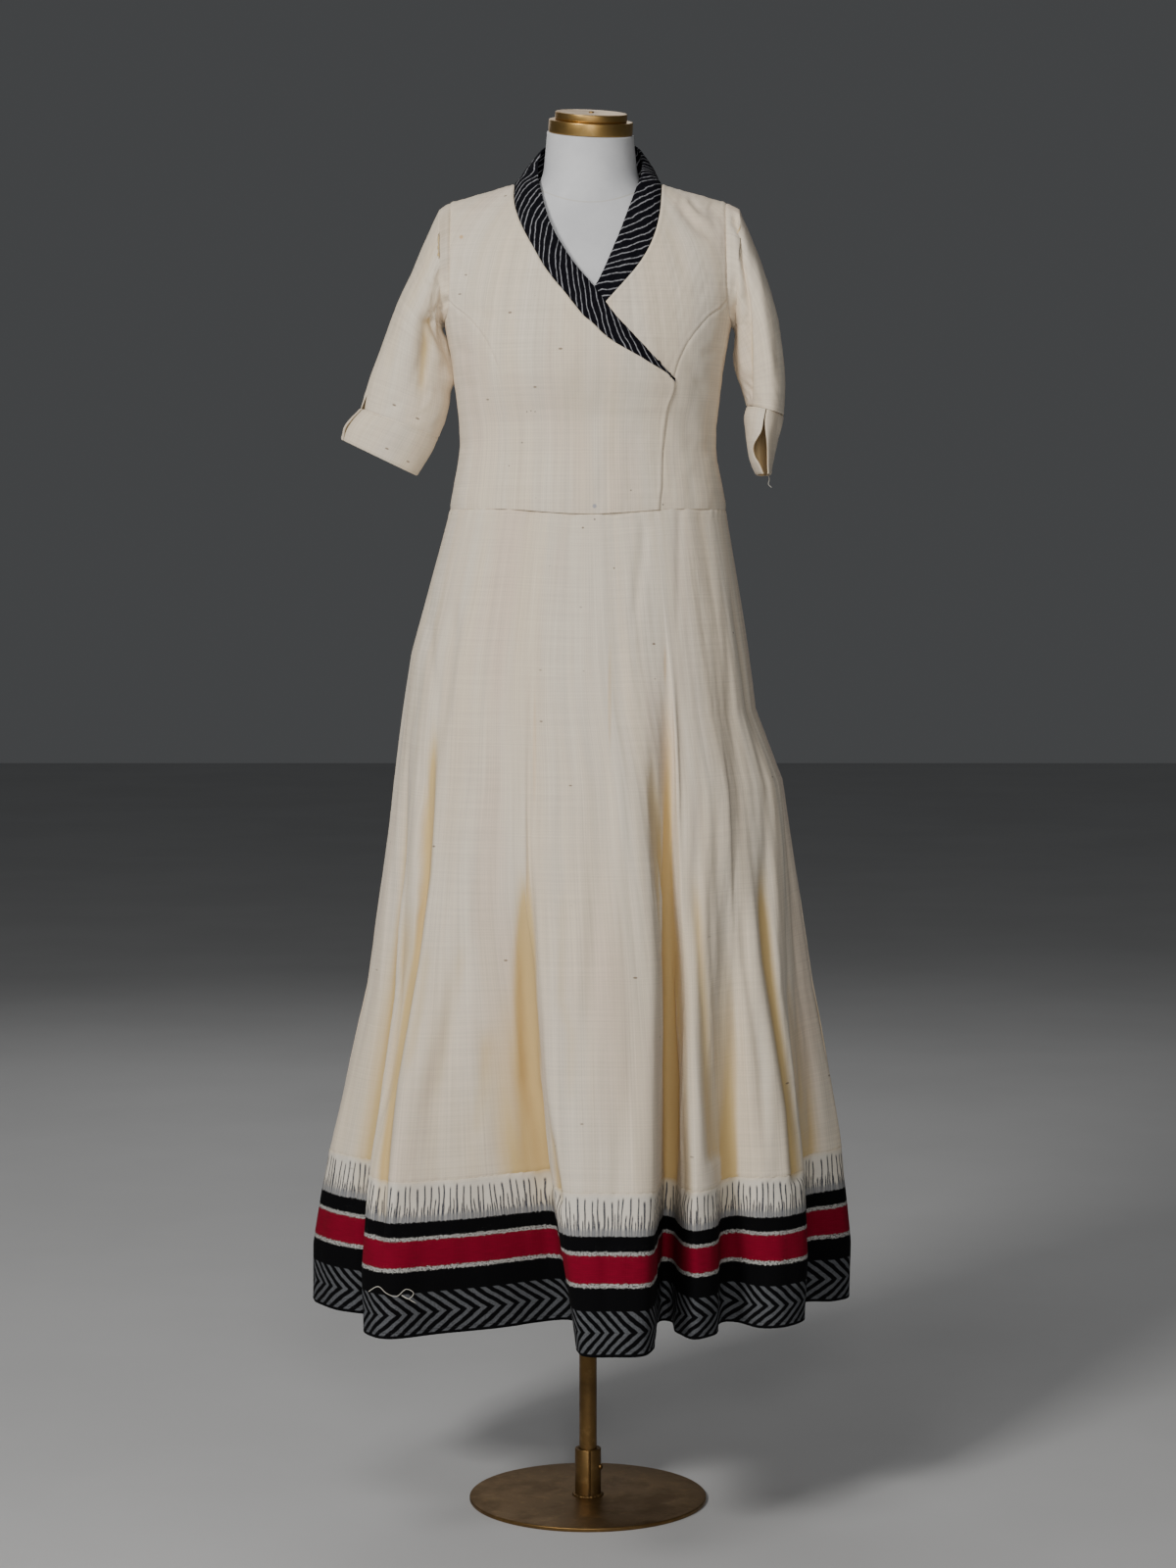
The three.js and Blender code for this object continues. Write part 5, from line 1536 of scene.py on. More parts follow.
@dataclass
class Sleeve:
    """An elbow sleeve with its cuff band. Angle 0 is the outer side, a quarter turn the front."""

    name: str
    sign: int
    rings: Table
    cuff: Table
    notch: float
    creases: tuple[Crease, ...]
    cuff_creases: tuple[Crease, ...]
    seed: int
    thickness: float = 1.0
    columns: int = 150
    rows: int = 120
    cuff_rows: int = 46
    notch_half_angle: float = 0.14
    notch_slant: float = 0.31
    under: float = 2.6  # how far the cap reaches under the bodice
    cap_rows: int = 10
    cap_dip: float = 0.02
    cuff_weight: float = 1.4
    windows: tuple[float, float] = (60.0, 40.0)
    calm: float = 14.0  # smooth width beside the seams
    waves: Waves = ((0.5, (52, 150)), (0.22, (19, 44)))
    cuff_waves: Waves = ((0.35, (40, 60)),)

    def ring(self, table: Table, position: Array, angle: Array) -> Array:
        """Points of the sleeve's rings.

        Args:
            table: The rings.
            position: Row numbers in the table, with their fractions.
            angle: Angles round the ring.

        Returns:
            The points.
        """
        ox, oz, ix, iz, depth, y = (table.at(name, position) for name in RING.split()[:6])
        shear = table.at("shear", position) if "shear" in table.columns else 0.0
        half_x, half_z = (ox - ix) / 2, (oz - iz) / 2
        reach = np.hypot(half_x, half_z)
        forward = np.sin(angle)
        slide = np.cos(angle) + shear / reach * forward
        return stack((ox + ix) / 2 + half_x * slide, y - depth * forward, (oz + iz) / 2 + half_z * slide)

    def armhole(self, angle: Array) -> Array:
        """Points of the armhole, with the same angles as the rings."""
        h = lerp(1.0, SEAMS.underarm, (1 - np.cos(angle)) / 2)
        edge = SEAMS.armhole(h)
        front, back = FORM.point(edge, h, Side.FRONT), FORM.point(edge, h, Side.BACK)
        p = np.where((np.sin(angle) >= 0)[..., None], front, back)
        return stack(self.sign * (p[..., 0] - self.under), p[..., 1], p[..., 2])

    def ordered(self, points: Array) -> Array:
        """The columns in the order in which they run to the right, seen from outside."""
        return points[:, ::-1] if self.sign > 0 else points

    def middle(self, points: Array) -> Array:
        """The centre line that the sleeve's wall faces away from."""
        return points.mean(axis=1, keepdims=True) * np.array([1, 1, 0])

    def tube(self) -> Grid:
        """The sleeve from its cuff up to the armhole."""
        angle = np.linspace(0, 2 * math.pi, self.columns, endpoint=False)[None, :]
        last = self.rings.last
        position = np.linspace(0, last, self.rows)[:, None]
        body = self.ring(self.rings, position, angle)
        turn = angle - self.cuff.columns["slit"][0]
        off = np.abs(np.arctan2(np.sin(turn), np.cos(turn)))
        cut = self.notch * np.maximum(0, 1 - off / self.notch_half_angle)
        slant = np.array([-self.sign * self.notch_slant, 0, 1])
        body += (cut * smoothstep(position, last - 1, last))[..., None] * slant
        cap = self.armhole(angle)
        first = body[:1]
        away = self.ring(self.rings, np.array([[1.0]]), angle) - first
        shares = np.linspace(0, 1, self.cap_rows, endpoint=False)[:, None, None]
        bulge = np.sin(math.pi * shares) * self.sign * np.array([1, 0, 0])
        rise = lerp(cap, first, shares) + bulge - self.cap_dip * away * np.sin(math.pi * shares)
        points = np.concatenate([rise, body])[::-1]
        return Grid(self.ordered(points), True, self.middle(self.ordered(points)))

    def sleeve_grid(self) -> Grid:
        """The sleeve with its folds and seams."""
        grid = self.tube()
        across, up = grid.places(1), grid.places(0)
        away = np.minimum(up, up[-1:] - up)
        uneven = ripples(across, up, self.seed, self.waves) * smoothstep(away, 0, self.calm)
        grid = grid.push(uneven).creased(self.creases)
        return grid.edged(Hem(tuck=0.4, width=1.2, ridge=0.2),
                          Hem(tuck=1.5, width=2.6, ridge=0.5, pucker=0.3, pitch=15), seed=self.seed)

    def cuff_grid(self) -> Grid:
        """The cuff band, open along its slit."""
        shares = graded(self.cuff_rows, 0.02)
        position = (shares * self.cuff.last)[::-1, None]
        slit, gap = self.cuff.at("slit", position), self.cuff.at("gap", position)
        angle = lerp(slit + gap, slit - gap + 2 * math.pi, graded(self.columns, 0.003)[None, :])
        grid = Grid(self.ordered(self.ring(self.cuff, position, angle)))
        grid.centre = self.middle(grid.points)
        across, up = grid.places(1), grid.places(0)
        uneven = ripples(across, up, self.seed + 7, self.cuff_waves)
        grid = grid.push(uneven).creased(self.cuff_creases)
        return grid.edged(Hem(tuck=0.4, width=0.9, ridge=0.3, pucker=0.12),
                          Hem(tuck=0.3, width=1.2, ridge=0.4), FREE_EDGE, FREE_EDGE, self.seed + 3)

    def build(self, cotton: Material, stitches: "Stitches") -> None:
        tube, band = self.sleeve_grid(), self.cuff_grid()
        side = self.name
        sleeve, cuff = (
            dress(shell(f"{part}_{side}_cloth", grid, flat, self.thickness * weight, window),
                  cotton, "cotton", f"{part}_{side}")
            for part, grid, flat, weight, window in (
                ("sleeve", tube, Layout.measured(tube, 0.2), 1.0, self.windows[0]),
                ("cuff", band, Layout.measured(band), self.cuff_weight, self.windows[1])))
        rows = [band.line(3.0, 0.1), band.line(2.0, 0.1, from_top=True)]
        sewn = stitches.sew(f"cuff_{side}_stitches", rows, "cotton")


SLEEVES = (
    Sleeve("right", -1, SLEEVE_RIGHT, CUFF_RIGHT, 20.0, (
        Crease(((-198, 1545), (-184, 1534), (-172, 1525)), 5, 2.2, fade=(0.4, 0)),
        Crease(((-200, 1532), (-186, 1522), (-174, 1514)), 5, -1.6, fade=(0.4, 0)),
        Crease(((-192.7, 1487), (-183, 1496), (-172.6, 1504)), 4, 2.8, fade=(0.1, 0)),
        Crease(((-192.7, 1486), (-183, 1479), (-174, 1472)), 3.6, 3.6, fade=(0.1, 0)),
        Crease(((-192.7, 1485), (-183, 1455), (-172.6, 1426), (-166, 1402)), 3.6, 3.6, fade=(0.05, 0.2)),
        Crease(((-199, 1482), (-190, 1453), (-180, 1424)), 5, -2.4),
        Crease(((-196, 1494), (-197, 1457), (-203, 1414), (-205, 1371)), 9, 4.4, fade=(0.15, 0.3)),
        Crease(((-211, 1510), (-214, 1457), (-219, 1414)), 9, -2.4),
        Crease(((-204, 1529), (-194, 1520), (-186, 1526)), 5, 1.8),
        Crease(((-180, 1600), (-194, 1560), (-214, 1510), (-226, 1470)), 12, 2.4),
        Crease(((-228, 1500), (-240, 1460), (-252, 1410)), 11, 2.0),
        Crease(((-196, 1400), (-206, 1380), (-228, 1366)), 7, 1.2),
        Crease(((-190, 1560), (-214, 1500), (-236, 1440)), 14, 2.4, Facing.BACK),
        Crease(((-206, 1440), (-230, 1400), (-252, 1380)), 10, 1.8, Facing.BACK),
        Crease(((-40, 1560), (-30, 1500), (-34, 1440)), 10, 1.2, Facing.RIGHT),
        Crease(((0, 1478), (0, 1430), (0, 1392)), 26, -7.0, Facing.LEFT),
        Crease(((26, 1570), (30, 1500), (20, 1430)), 10, 1.4, Facing.RIGHT),
    ), (
        Crease(((-262, 1366), (-258, 1350), (-262, 1330)), 9, 0.9, fade=(0, 0.3)),
        Crease(((-222, 1346), (-228, 1326), (-236, 1308)), 9, 0.8, fade=(0, 0.3)),
    ), 51),
    Sleeve("left", 1, SLEEVE_LEFT, CUFF_LEFT, 0.0, (
        Crease(((182.9, 1615.5), (180, 1601), (184.8, 1590.5), (189.7, 1561), (192.2, 1525), (194.7, 1501),
                (196.1, 1441.5), (196.8, 1375.7)), 4, 7.5, fade=(0.04, 0)),
        Crease(((200.9, 1573.6), (205.9, 1543.8), (210.8, 1514), (214.5, 1484), (218.2, 1454), (222.3, 1430),
                (223.2, 1413), (222.4, 1390)), 6, -2.6, fade=(0.25, 0.2)),
        Crease(((186, 1560), (187, 1500), (188, 1440), (191, 1400)), 4, -1.6, fade=(0.2, 0.1)),
        Crease(((226, 1520), (232, 1470), (236, 1410)), 7, 1.4),
        Crease(((200, 1560), (206, 1480), (214, 1400)), 10, 2.6, Facing.BACK),
        Crease(((-20, 1580), (-10, 1500), (-14, 1420)), 12, 1.5, Facing.LEFT),
        Crease(((34, 1570), (36, 1500), (28, 1410)), 12, 1.7, Facing.LEFT),
    ), (
        Crease(((-44, 1362), (-38, 1340), (-42, 1310)), 10, 1.2, Facing.LEFT, (0, 0.2)),
        Crease(((20, 1360), (26, 1330), (20, 1300)), 10, 1.2, Facing.LEFT, (0, 0.2)),
    ), 61),
)


# ---- skirt and hem band


FOLDS = Table("hip x y start band", [
    (-92, -345, -15, 0.2, 189), (-88, -322, -68, 0.2, 189), (-85, -284, -102, 0.22, 188),
    (-82, -240, -116, 0.24, 187), (-79, -254, -166, 0.25, 186), (-76, -268, -208, 0.2, 184),
    (-66, -236, -240, 0.2, 182), (-56, -178, -213, 0.35, 182), (-48, -112, -184, 0.42, 184),
    (-42, -60, -152, 0.46, 186), (-38, -18, -142, 0.46, 187), (-34, -12, -232, 0.42, 187),
    (-30, -9, -320, 0.2, 186), (-2, 30, -331, 0.2, 186), (27, 70, -320, 0.2, 184),
    (31, 80, -240, 0.24, 180), (34, 86, -152, 0.22, 178), (36, 102, -152, 0.22, 176),
    (38, 107, -208, 0.28, 174), (41, 126, -242, 0.2, 173), (45, 152, -216, 0.3, 174),
    (49, 160, -160, 0.36, 176), (53, 178, -150, 0.36, 178), (58, 208, -182, 0.25, 180),
    (66, 240, -176, 0.2, 180), (72, 264, -140, 0.3, 181), (77, 256, -78, 0.38, 184),
    (81, 272, -42, 0.36, 187), (86, 306, -36, 0.22, 190), (92, 328, -8, 0.2, 191),
    (99, 318, 50, 0.2, 190), (105, 268, 86, 0.3, 188), (110, 256, 132, 0.32, 186),
    (118, 262, 190, 0.2, 183), (127, 222, 236, 0.2, 181), (134, 174, 214, 0.3, 182),
    (139, 136, 158, 0.36, 185), (144, 108, 178, 0.36, 187), (151, 92, 262, 0.25, 185),
    (160, 60, 322, 0.2, 181), (174, 8, 332, 0.2, 180), (186, -42, 318, 0.2, 182),
    (193, -58, 240, 0.28, 185), (198, -68, 166, 0.3, 187), (203, -98, 160, 0.3, 187),
    (209, -122, 214, 0.26, 185), (217, -152, 268, 0.2, 182), (226, -198, 262, 0.2, 181),
    (233, -212, 204, 0.34, 184), (239, -206, 146, 0.4, 187), (245, -234, 122, 0.38, 188),
    (253, -284, 140, 0.22, 186), (260, -318, 104, 0.2, 186), (264, -318, 52, 0.24, 188),
])
FOLD_COUNT = FOLDS.last + 1
SIDE_FLARE = Table("t right left", [
    (0, 0, 0), (0.08, 8, 0), (0.18, 18, -1), (0.25, 16, -4), (0.34, 13, 17), (0.46, 6, 16),
    (0.6, 2, 16), (0.72, 7, 21), (0.79, 10, 21), (0.93, 11, 13), (1, 2, 0),
])


@dataclass(frozen=True)
class Cone:
    """The flared cone that the skirt's folds drop in from."""

    waist: tuple[float, float, float, float] = (171, 112, 108, 2.3)
    hem: tuple[float, float, float, float] = (340, 334, 332, 2.0)
    rounding_speed: float = 3.0

    def ring(self, t: Array) -> tuple[Array, Array, Array, Array]:
        """Half-width, front, back and squareness at a share of the length."""
        turned = np.minimum(self.rounding_speed * t, 1)
        return tuple(lerp(a, b, share) for a, b, share in zip(self.waist, self.hem, (t, t, t, turned)))

    @staticmethod
    def oval(angle: Array, ring: tuple[Array, ...]) -> tuple[Array, Array]:
        """A point of a flattened ring, by its true angle from the front."""
        half_width, front, back, square = ring
        depth = np.where(np.cos(angle) >= 0, front, back)
        sine, cosine = np.abs(np.sin(angle)), np.abs(np.cos(angle))
        reach = ((sine / half_width) ** square + (cosine / depth) ** square) ** (-1 / square)
        return reach * np.sin(angle), -reach * np.cos(angle)


def fold_value(name: str, position: Array) -> Array:
    """Reads a column of FOLDS round the skirt."""
    i = np.floor(position).astype(int)
    column = FOLDS.columns[name]

    def pick(k: Array) -> Array:
        """The value of a fold, with whole turns added to its angle."""
        value = column[k % FOLD_COUNT]
        return value + 360 * (k // FOLD_COUNT) if name == "hip" else value

    if name != "hip":
        return catmull(pick(i - 1), pick(i), pick(i + 1), pick(i + 2), position - i)
    before, here, after = (pick(i + k) - pick(i + k - 1) for k in range(3))
    start, end = 2 * before * here / (before + here), 2 * here * after / (here + after)
    s = position - i
    return pick(i) + s * (start + s * (3 * here - 2 * start - end + s * (start + end - 2 * here)))


BAND_SEAM = Hem(tuck=0.2, width=1.6, ridge=0.5, pucker=0.5, pitch=13, reach=10)
WAIST_SEAM = Hem(tuck=1.3, width=2.4, ridge=0.3, pucker=0.6, pitch=15, reach=12)
GATHERED_SEAM = Hem(tuck=1.3, width=1.8, ridge=0.5, pucker=0.75, pitch=11, reach=24)
TURNED_HEM = Hem(tuck=0.4, width=0.8, ridge=0.3, pucker=0.2)


@dataclass
class Skirt:
    """The flared skirt and the band sewn to its hem, each in a front and a back half."""

    halves: tuple[tuple[str, int, int], ...] = (("front", 0, 29), ("back", 29, FOLD_COUNT))
    thickness: float = 1.0
    softness: float = 0.05
    tucked_in: float = 0.0022
    grain_row: float = 0.42
    evening: tuple[float, float] = (0.3, 0.75)
    evened_from: float = 0.5
    columns: int = 372
    rows: int = 116
    band_rows: int = 40
    dip_power: float = 6.0
    flare_power: float = 6.0
    top_step: float = 0.0022
    band_step: float = 0.006
    band_weight: float = 1.2
    window: float = 120.0
    stitch_rows: tuple[tuple[str, float, bool, str], ...] = (("seam", 2.6, True, "cotton"),
                                                             ("hem", 7.0, False, "border"))
    cone: Cone = Cone()
    creases: tuple[Crease, ...] = (
        Crease(((-186, 1040), (-199, 807), (-205, 767), (-215, 703), (-223, 660), (-240, 562), (-248, 475),
                (-252, 380)), 8, 11.0, fade=(0.25, 0)),
        Crease(((-212, 830), (-230, 720), (-252, 600), (-272, 480), (-286, 400)), 17, 5.5, fade=(0.3, 0)),
        Crease(((-202, 963), (-204, 884), (-206, 807), (-211, 753), (-217, 675)), 5, 8.5, fade=(0.3, 0.4)),
        Crease(((-145, 932), (-170, 753), (-181, 648), (-207, 542), (-218, 436)), 15, -4.5, fade=(0.3, 0)),
        Crease(((-190, 753), (-203, 648), (-226, 542)), 9, 3.4),
        Crease(((-178, 1040), (-186, 807), (-196, 703), (-214, 600), (-228, 475), (-240, 380)), 9, -4.2,
               fade=(0.25, 0)),
        Crease(((-84, 860), (-78, 790), (-76, 660), (-70, 560), (-54, 500), (-44, 440)), 11, 13.0,
               fade=(0.4, 0)),
        Crease(((74, 1000), (80, 916), (88, 820), (93, 740), (97, 680)), 11, 5.0, fade=(0.35, 0.4)),
        Crease(((96, 800), (101, 740), (106, 660), (110, 580), (113, 500), (117, 430)), 11, 4.0,
               fade=(0.3, 0)),
        Crease(((124, 860), (128, 807), (136, 719), (143, 641), (147, 551), (152, 475)), 9, 5.5,
               fade=(0.3, 0)),
        Crease(((214, 860), (215, 780), (222, 700), (236, 610), (250, 520), (256, 440)), 8, 8.5,
               fade=(0.3, 0)),
        Crease(((-188, 1161), (-199, 1113), (-194, 1081), (-188, 1032), (-185, 995)), 7, 2.6),
        Crease(((-166, 1155), (-164, 1098), (-170, 1063), (-174, 1027), (-177, 1002), (-182, 978),
                (-188, 918)), 7, 2.4),
        Crease(((-152, 1165), (-150, 1098), (-156, 1040), (-164, 980)), 9, -1.8),
        Crease(((-29, 850), (-32, 669), (-20, 630), (-23, 500)), 10, 3.0),
        Crease(((-12, 820), (-14, 669), (-4, 600), (-6, 500)), 11, -1.6),
        Crease(((185, 800), (192, 699), (211, 574), (218, 440)), 7, 3.4),
        Crease(((196, 800), (204, 699), (222, 574), (230, 440)), 8, -1.8),
        Crease(((111, 1246), (110, 1154), (109, 1080)), 5, 1.5, fade=(0, 0.3)),
        Crease(((71, 1240), (62, 1166), (52, 1090)), 7, 2.0, fade=(0.1, 0.3)),
        Crease(((-108, 1246), (-118, 1150), (-132, 1040), (-146, 900)), 9, 1.9, fade=(0, 0.4)),
        Crease(((-70, 1246), (-78, 1160), (-86, 1060), (-96, 900)), 12, 1.6, fade=(0, 0.4)),
        Crease(((-20, 1242), (-20, 1150), (-24, 1050)), 9, 1.2, fade=(0, 0.5)),
        Crease(((30, 1242), (34, 1150), (38, 1050), (40, 930)), 11, 1.3, fade=(0, 0.4)),
        Crease(((138, 1246), (146, 1180), (156, 1110)), 8, 1.6, fade=(0, 0.4)),
        Crease(((-210, 900), (-226, 780), (-240, 650), (-262, 500)), 10, 2.2),
        Crease(((-150, 760), (-168, 640), (-190, 500)), 12, 2.4),
        Crease(((-120, 640), (-128, 560), (-140, 470)), 11, 2.0),
        Crease(((110, 800), (116, 700), (122, 600), (130, 470)), 9, 2.2),
        Crease(((240, 700), (254, 600), (262, 480)), 9, 2.2),
        Crease(((-100, 1244), (-112, 1150), (-128, 1020)), 10, 2.0, Facing.BACK, (0, 0.4)),
        Crease(((-40, 1244), (-44, 1140), (-52, 980)), 11, 1.8, Facing.BACK, (0, 0.4)),
        Crease(((16, 1244), (18, 1150), (14, 1040)), 10, 1.5, Facing.BACK, (0, 0.4)),
        Crease(((76, 1244), (86, 1130), (98, 960)), 11, 2.1, Facing.BACK, (0, 0.4)),
        Crease(((130, 1246), (142, 1170), (156, 1080)), 9, 1.8, Facing.BACK, (0, 0.4)),
        Crease(((-180, 860), (-206, 700), (-226, 540)), 11, 2.6, Facing.BACK),
        Crease(((30, 820), (36, 680), (32, 520)), 12, 2.4, Facing.BACK),
        Crease(((150, 840), (172, 690), (190, 520)), 11, 2.4, Facing.BACK),
        Crease(((-60, 1180), (-66, 1080), (-60, 960)), 10, 2.0, Facing.RIGHT),
        Crease(((40, 1160), (52, 1020), (58, 880)), 11, 2.2, Facing.RIGHT),
        Crease(((-50, 1170), (-58, 1060), (-52, 940)), 10, 2.0, Facing.LEFT),
        Crease(((46, 1150), (56, 1000), (66, 860)), 11, 2.2, Facing.LEFT),
    )

    def share(self, t: Array, start: Array) -> Array:
        """How far a fold has left the cone at a share of the skirt's length."""

        def soft(s: Array) -> Array:
            """Nothing before the start, then rising straight, with a soft bend."""
            return (s - start + np.hypot(s - start, self.softness)) / 2

        return (soft(t) - soft(0.0)) / (soft(1.0) - soft(0.0))

    def point(self, position: Array, t: Array) -> Array:
        """Points of the skirt.

        Args:
            position: Places round FOLDS.
            t: Shares of the length, from the waist to the hem.

        Returns:
            The points.
        """
        hip = np.radians(fold_value("hip", position))
        hem_x, hem_y = fold_value("x", position), fold_value("y", position)
        hem_angle = np.arctan2(hem_x, -hem_y)
        swing = np.arctan2(np.sin(hem_angle - hip), np.cos(hem_angle - hip))
        cone_x, cone_y = Cone.oval(hip + swing * t, self.cone.ring(t))
        end_x, end_y = Cone.oval(hem_angle, self.cone.ring(np.array(1.0)))
        share = self.share(t, fold_value("start", position))
        sine = np.sin(hip)
        flare = np.where(sine < 0, *(SIDE_FLARE.look_up("t", t, side) for side in ("right", "left")))
        x = cone_x + flare * np.sign(sine) * np.abs(sine) ** self.flare_power
        dip = np.where(np.cos(hip) > 0, FORM.waist_dip(cone_x) * (1 - t) ** self.dip_power, 0)
        z = lerp(WAIST_Z - CURVED_SEAM_GAP, HEM_Z, t) - dip
        return stack(x + (hem_x - end_x) * share, cone_y + (hem_y - end_y) * share, z)

    def grid(self, start: int, end: int, bottom: Edge, top: Edge, shares: Array) -> tuple[Grid, Array]:
        """Part of the skirt between the side seams.

        Args:
            start: Row of FOLDS at the first side seam.
            end: Row at the second.
            bottom: Share of the length at the lower edge, by position.
            top: Share at the upper edge.
            shares: Rows from the lower edge to the upper one.

        Returns:
            The grid, and the share of the length at each point.
        """
        position = np.linspace(start, end, self.columns + 1)[None, :]
        t = lerp(bottom(position), top(position), shares[:, None])
        upper = shares * (t[-1].max() < self.evened_from)
        return Grid(self.spread(self.point(position + 0 * t, t), upper)), t

    def spread(self, points: Array, upper: Array) -> Array:
        """Moves the columns along their rows until none of them crowd, most of all at the waist."""
        steps = np.linalg.norm(np.diff(points, axis=1), axis=-1)
        run = np.concatenate([np.zeros((len(points), 1)), np.cumsum(steps, axis=1)], axis=1)
        even = np.linspace(0, 1, points.shape[1])[None, :] * run[:, -1:]
        target = lerp(run, even, lerp(*self.evening, upper)[:, None])
        return np.array([stack(*(np.interp(goal, place, row[:, k]) for k in range(3)))
                         for goal, place, row in zip(target, run, points)])

    def band_start(self, position: Array) -> Array:
        """Share of the skirt's length at which the band starts."""
        return 1 - fold_value("band", position) / (WAIST_Z - HEM_Z)

    def uneven(self, grid: Grid, t: Array, flat: Layout, seed: int) -> Grid:
        """Gives the hanging cloth its slow swells and small ripples, fewer at the waist."""
        slow, quick, fine = (unevenness(flat.across, flat.up, wave, seed + k)
                             for k, wave in enumerate(((60, 520), (24, 260), (11, 42))))
        level = smoothstep(t, 0.0, 0.25)
        room = np.minimum(1, grid.steps(1) / np.diff(flat.across, axis=1))
        room = np.concatenate([room, room[:, -1:]], axis=1) ** 2
        return grid.push((1.7 * slow * level + (0.3 + 0.4 * level) * quick + 0.12 * fine) * room)

    def build(self, cotton: Material, band: Material, stitches: "Stitches") -> None:
        """Makes both halves of the skirt and of the band."""
        gap = SEAM_GAP / 2 / (WAIST_Z - HEM_Z)
        for k, (side, start, end) in enumerate(self.halves):
            upper, t = self.grid(start, end, lambda p: self.band_start(p) - gap,
                                 lambda p: 0 * p - self.tucked_in, graded(self.rows, self.top_step))
            lower, t_low = self.grid(start, end, lambda p: 0 * p + 1,
                                     lambda p: self.band_start(p) - self.tucked_in,
                                     graded(self.band_rows, self.band_step))
            flat, flat_low = Layout.measured(upper, self.grain_row), Layout.measured(lower, 1.0)
            below = Layout(flat.across[:1] + 0 * flat_low.up, flat_low.up - flat_low.up.max())
            upper = self.uneven(upper, t, flat, 70 + k).creased(self.creases)
            lower = self.uneven(lower, t_low, below, 70 + k).creased(self.creases)
            upper = upper.edged(BAND_SEAM, WAIST_SEAM, SEAM, SEAM, 80 + k)
            lower = lower.edged(TURNED_HEM, GATHERED_SEAM, SEAM, SEAM, 80 + k)
            skirt = shell(f"skirt_{side}_cloth", upper, flat, self.thickness, self.window)
            dress(skirt, cotton, "cotton", f"skirt_{side}")
            nominal = flat_low.up / flat_low.up.max() * HemBand.height
            down = Layout(flat_low.across, HemBand.height - nominal)
            edge = shell(f"border_{side}_cloth", lower, down, self.thickness * self.band_weight, self.window)
            dress(edge, band, "border", f"border_{side}")
            sewn = [stitches.sew(f"border_{side}_{row}_stitches", [lower.line(away, 0.12, top)], slot)
                    for row, away, top, slot in self.stitch_rows]


# ---- sewing


@dataclass
class Stitches:
    """Rows of machine stitches, laid along lines on the cloth."""

    length: float = 2.5
    pitch: float = 3.4
    thickness: float = 0.34
    sides: int = 5
    finishes: dict[str, Material] = field(default_factory=dict)
    nodes: tuple[tuple[str, str], ...] = (
        ("start", "NodeGroupInput"), ("end", "NodeGroupOutput"), ("curve", "GeometryNodeMeshToCurve"),
        ("even", "GeometryNodeResampleCurve"), ("thread", "GeometryNodeMeshCylinder"),
        ("turned", "FunctionNodeAlignRotationToVector"), ("tangent", "GeometryNodeInputTangent"),
        ("laid", "GeometryNodeInstanceOnPoints"), ("whole", "GeometryNodeRealizeInstances"),
        ("smooth", "GeometryNodeSetShadeSmooth"), ("finish", "GeometryNodeSetMaterial"))
    links: tuple[tuple[str, str | int, str, str | int], ...] = (
        ("start", "Line", "curve", 0), ("curve", 0, "even", "Curve"), ("start", "Pitch", "even", "Length"),
        ("start", "Thickness", "thread", "Radius"), ("start", "Length", "thread", "Depth"),
        ("tangent", 0, "turned", "Vector"), ("even", 0, "laid", "Points"),
        ("thread", "Mesh", "laid", "Instance"), ("turned", 0, "laid", "Rotation"),
        ("laid", 0, "whole", 0), ("whole", 0, "smooth", 0), ("smooth", 0, "finish", 0),
        ("finish", 0, "end", 0))

    def tree(self, material: Material) -> tuple[bpy.types.NodeTree, dict[str, str]]:
        """A node tree that lays one short thread at each step of a line.

        Args:
            material: The thread's finish.

        Returns:
            The tree, and the identifier of each of its named inputs.
        """
        tree = bpy.data.node_groups.new("stitch_row", "GeometryNodeTree")
        face = tree.interface
        face.new_socket("Line", in_out="INPUT", socket_type="NodeSocketGeometry")
        sizes = {name: face.new_socket(name, in_out="INPUT", socket_type="NodeSocketFloat").identifier
                 for name in ("Pitch", "Length", "Thickness")}
        face.new_socket("Stitches", in_out="OUTPUT", socket_type="NodeSocketGeometry")
        nodes = {name: tree.nodes.new(kind) for name, kind in self.nodes}
        nodes["even"].mode = "LENGTH"
        nodes["turned"].axis = "Z"
        nodes["thread"].inputs["Vertices"].default_value = self.sides
        nodes["finish"].inputs["Material"].default_value = material
        for source, output, target, entry in self.links:
            tree.links.new(nodes[source].outputs[output], nodes[target].inputs[entry])
        return tree, sizes

    def sew(self, name: str, rows: Sequence[Array], slot: str) -> Piece:
        """Sews rows of stitches.

        Args:
            name: The piece's name.
            rows: Lines of points in millimetres.
            slot: The record's slot that the thread goes with.

        Returns:
            One plain mesh with all the stitches.
        """
        lines = bpy.data.meshes.new(f"{name}_lines")
        points, edges = [], []
        for row in rows:
            edges += [(len(points) + k, len(points) + k + 1) for k in range(len(row) - 1)]
            points += [tuple(p * MM) for p in row]
        lines.from_pydata(points, edges, [])
        rough = linked(f"{name}_rough", lines)
        tree, sizes = self.tree(self.finishes[slot])
        modifier = rough.modifiers.new("stitches", "NODES")
        modifier.node_group = tree
        values = {"Pitch": self.pitch, "Length": self.length, "Thickness": self.thickness / 2}
        for size, value in values.items():
            modifier[sizes[size]] = value * MM
        seen = rough.evaluated_get(bpy.context.evaluated_depsgraph_get())
        mesh = bpy.data.meshes.new_from_object(seen)
        bpy.data.objects.remove(rough)
        return dress(linked(name, mesh), self.finishes[slot], slot)


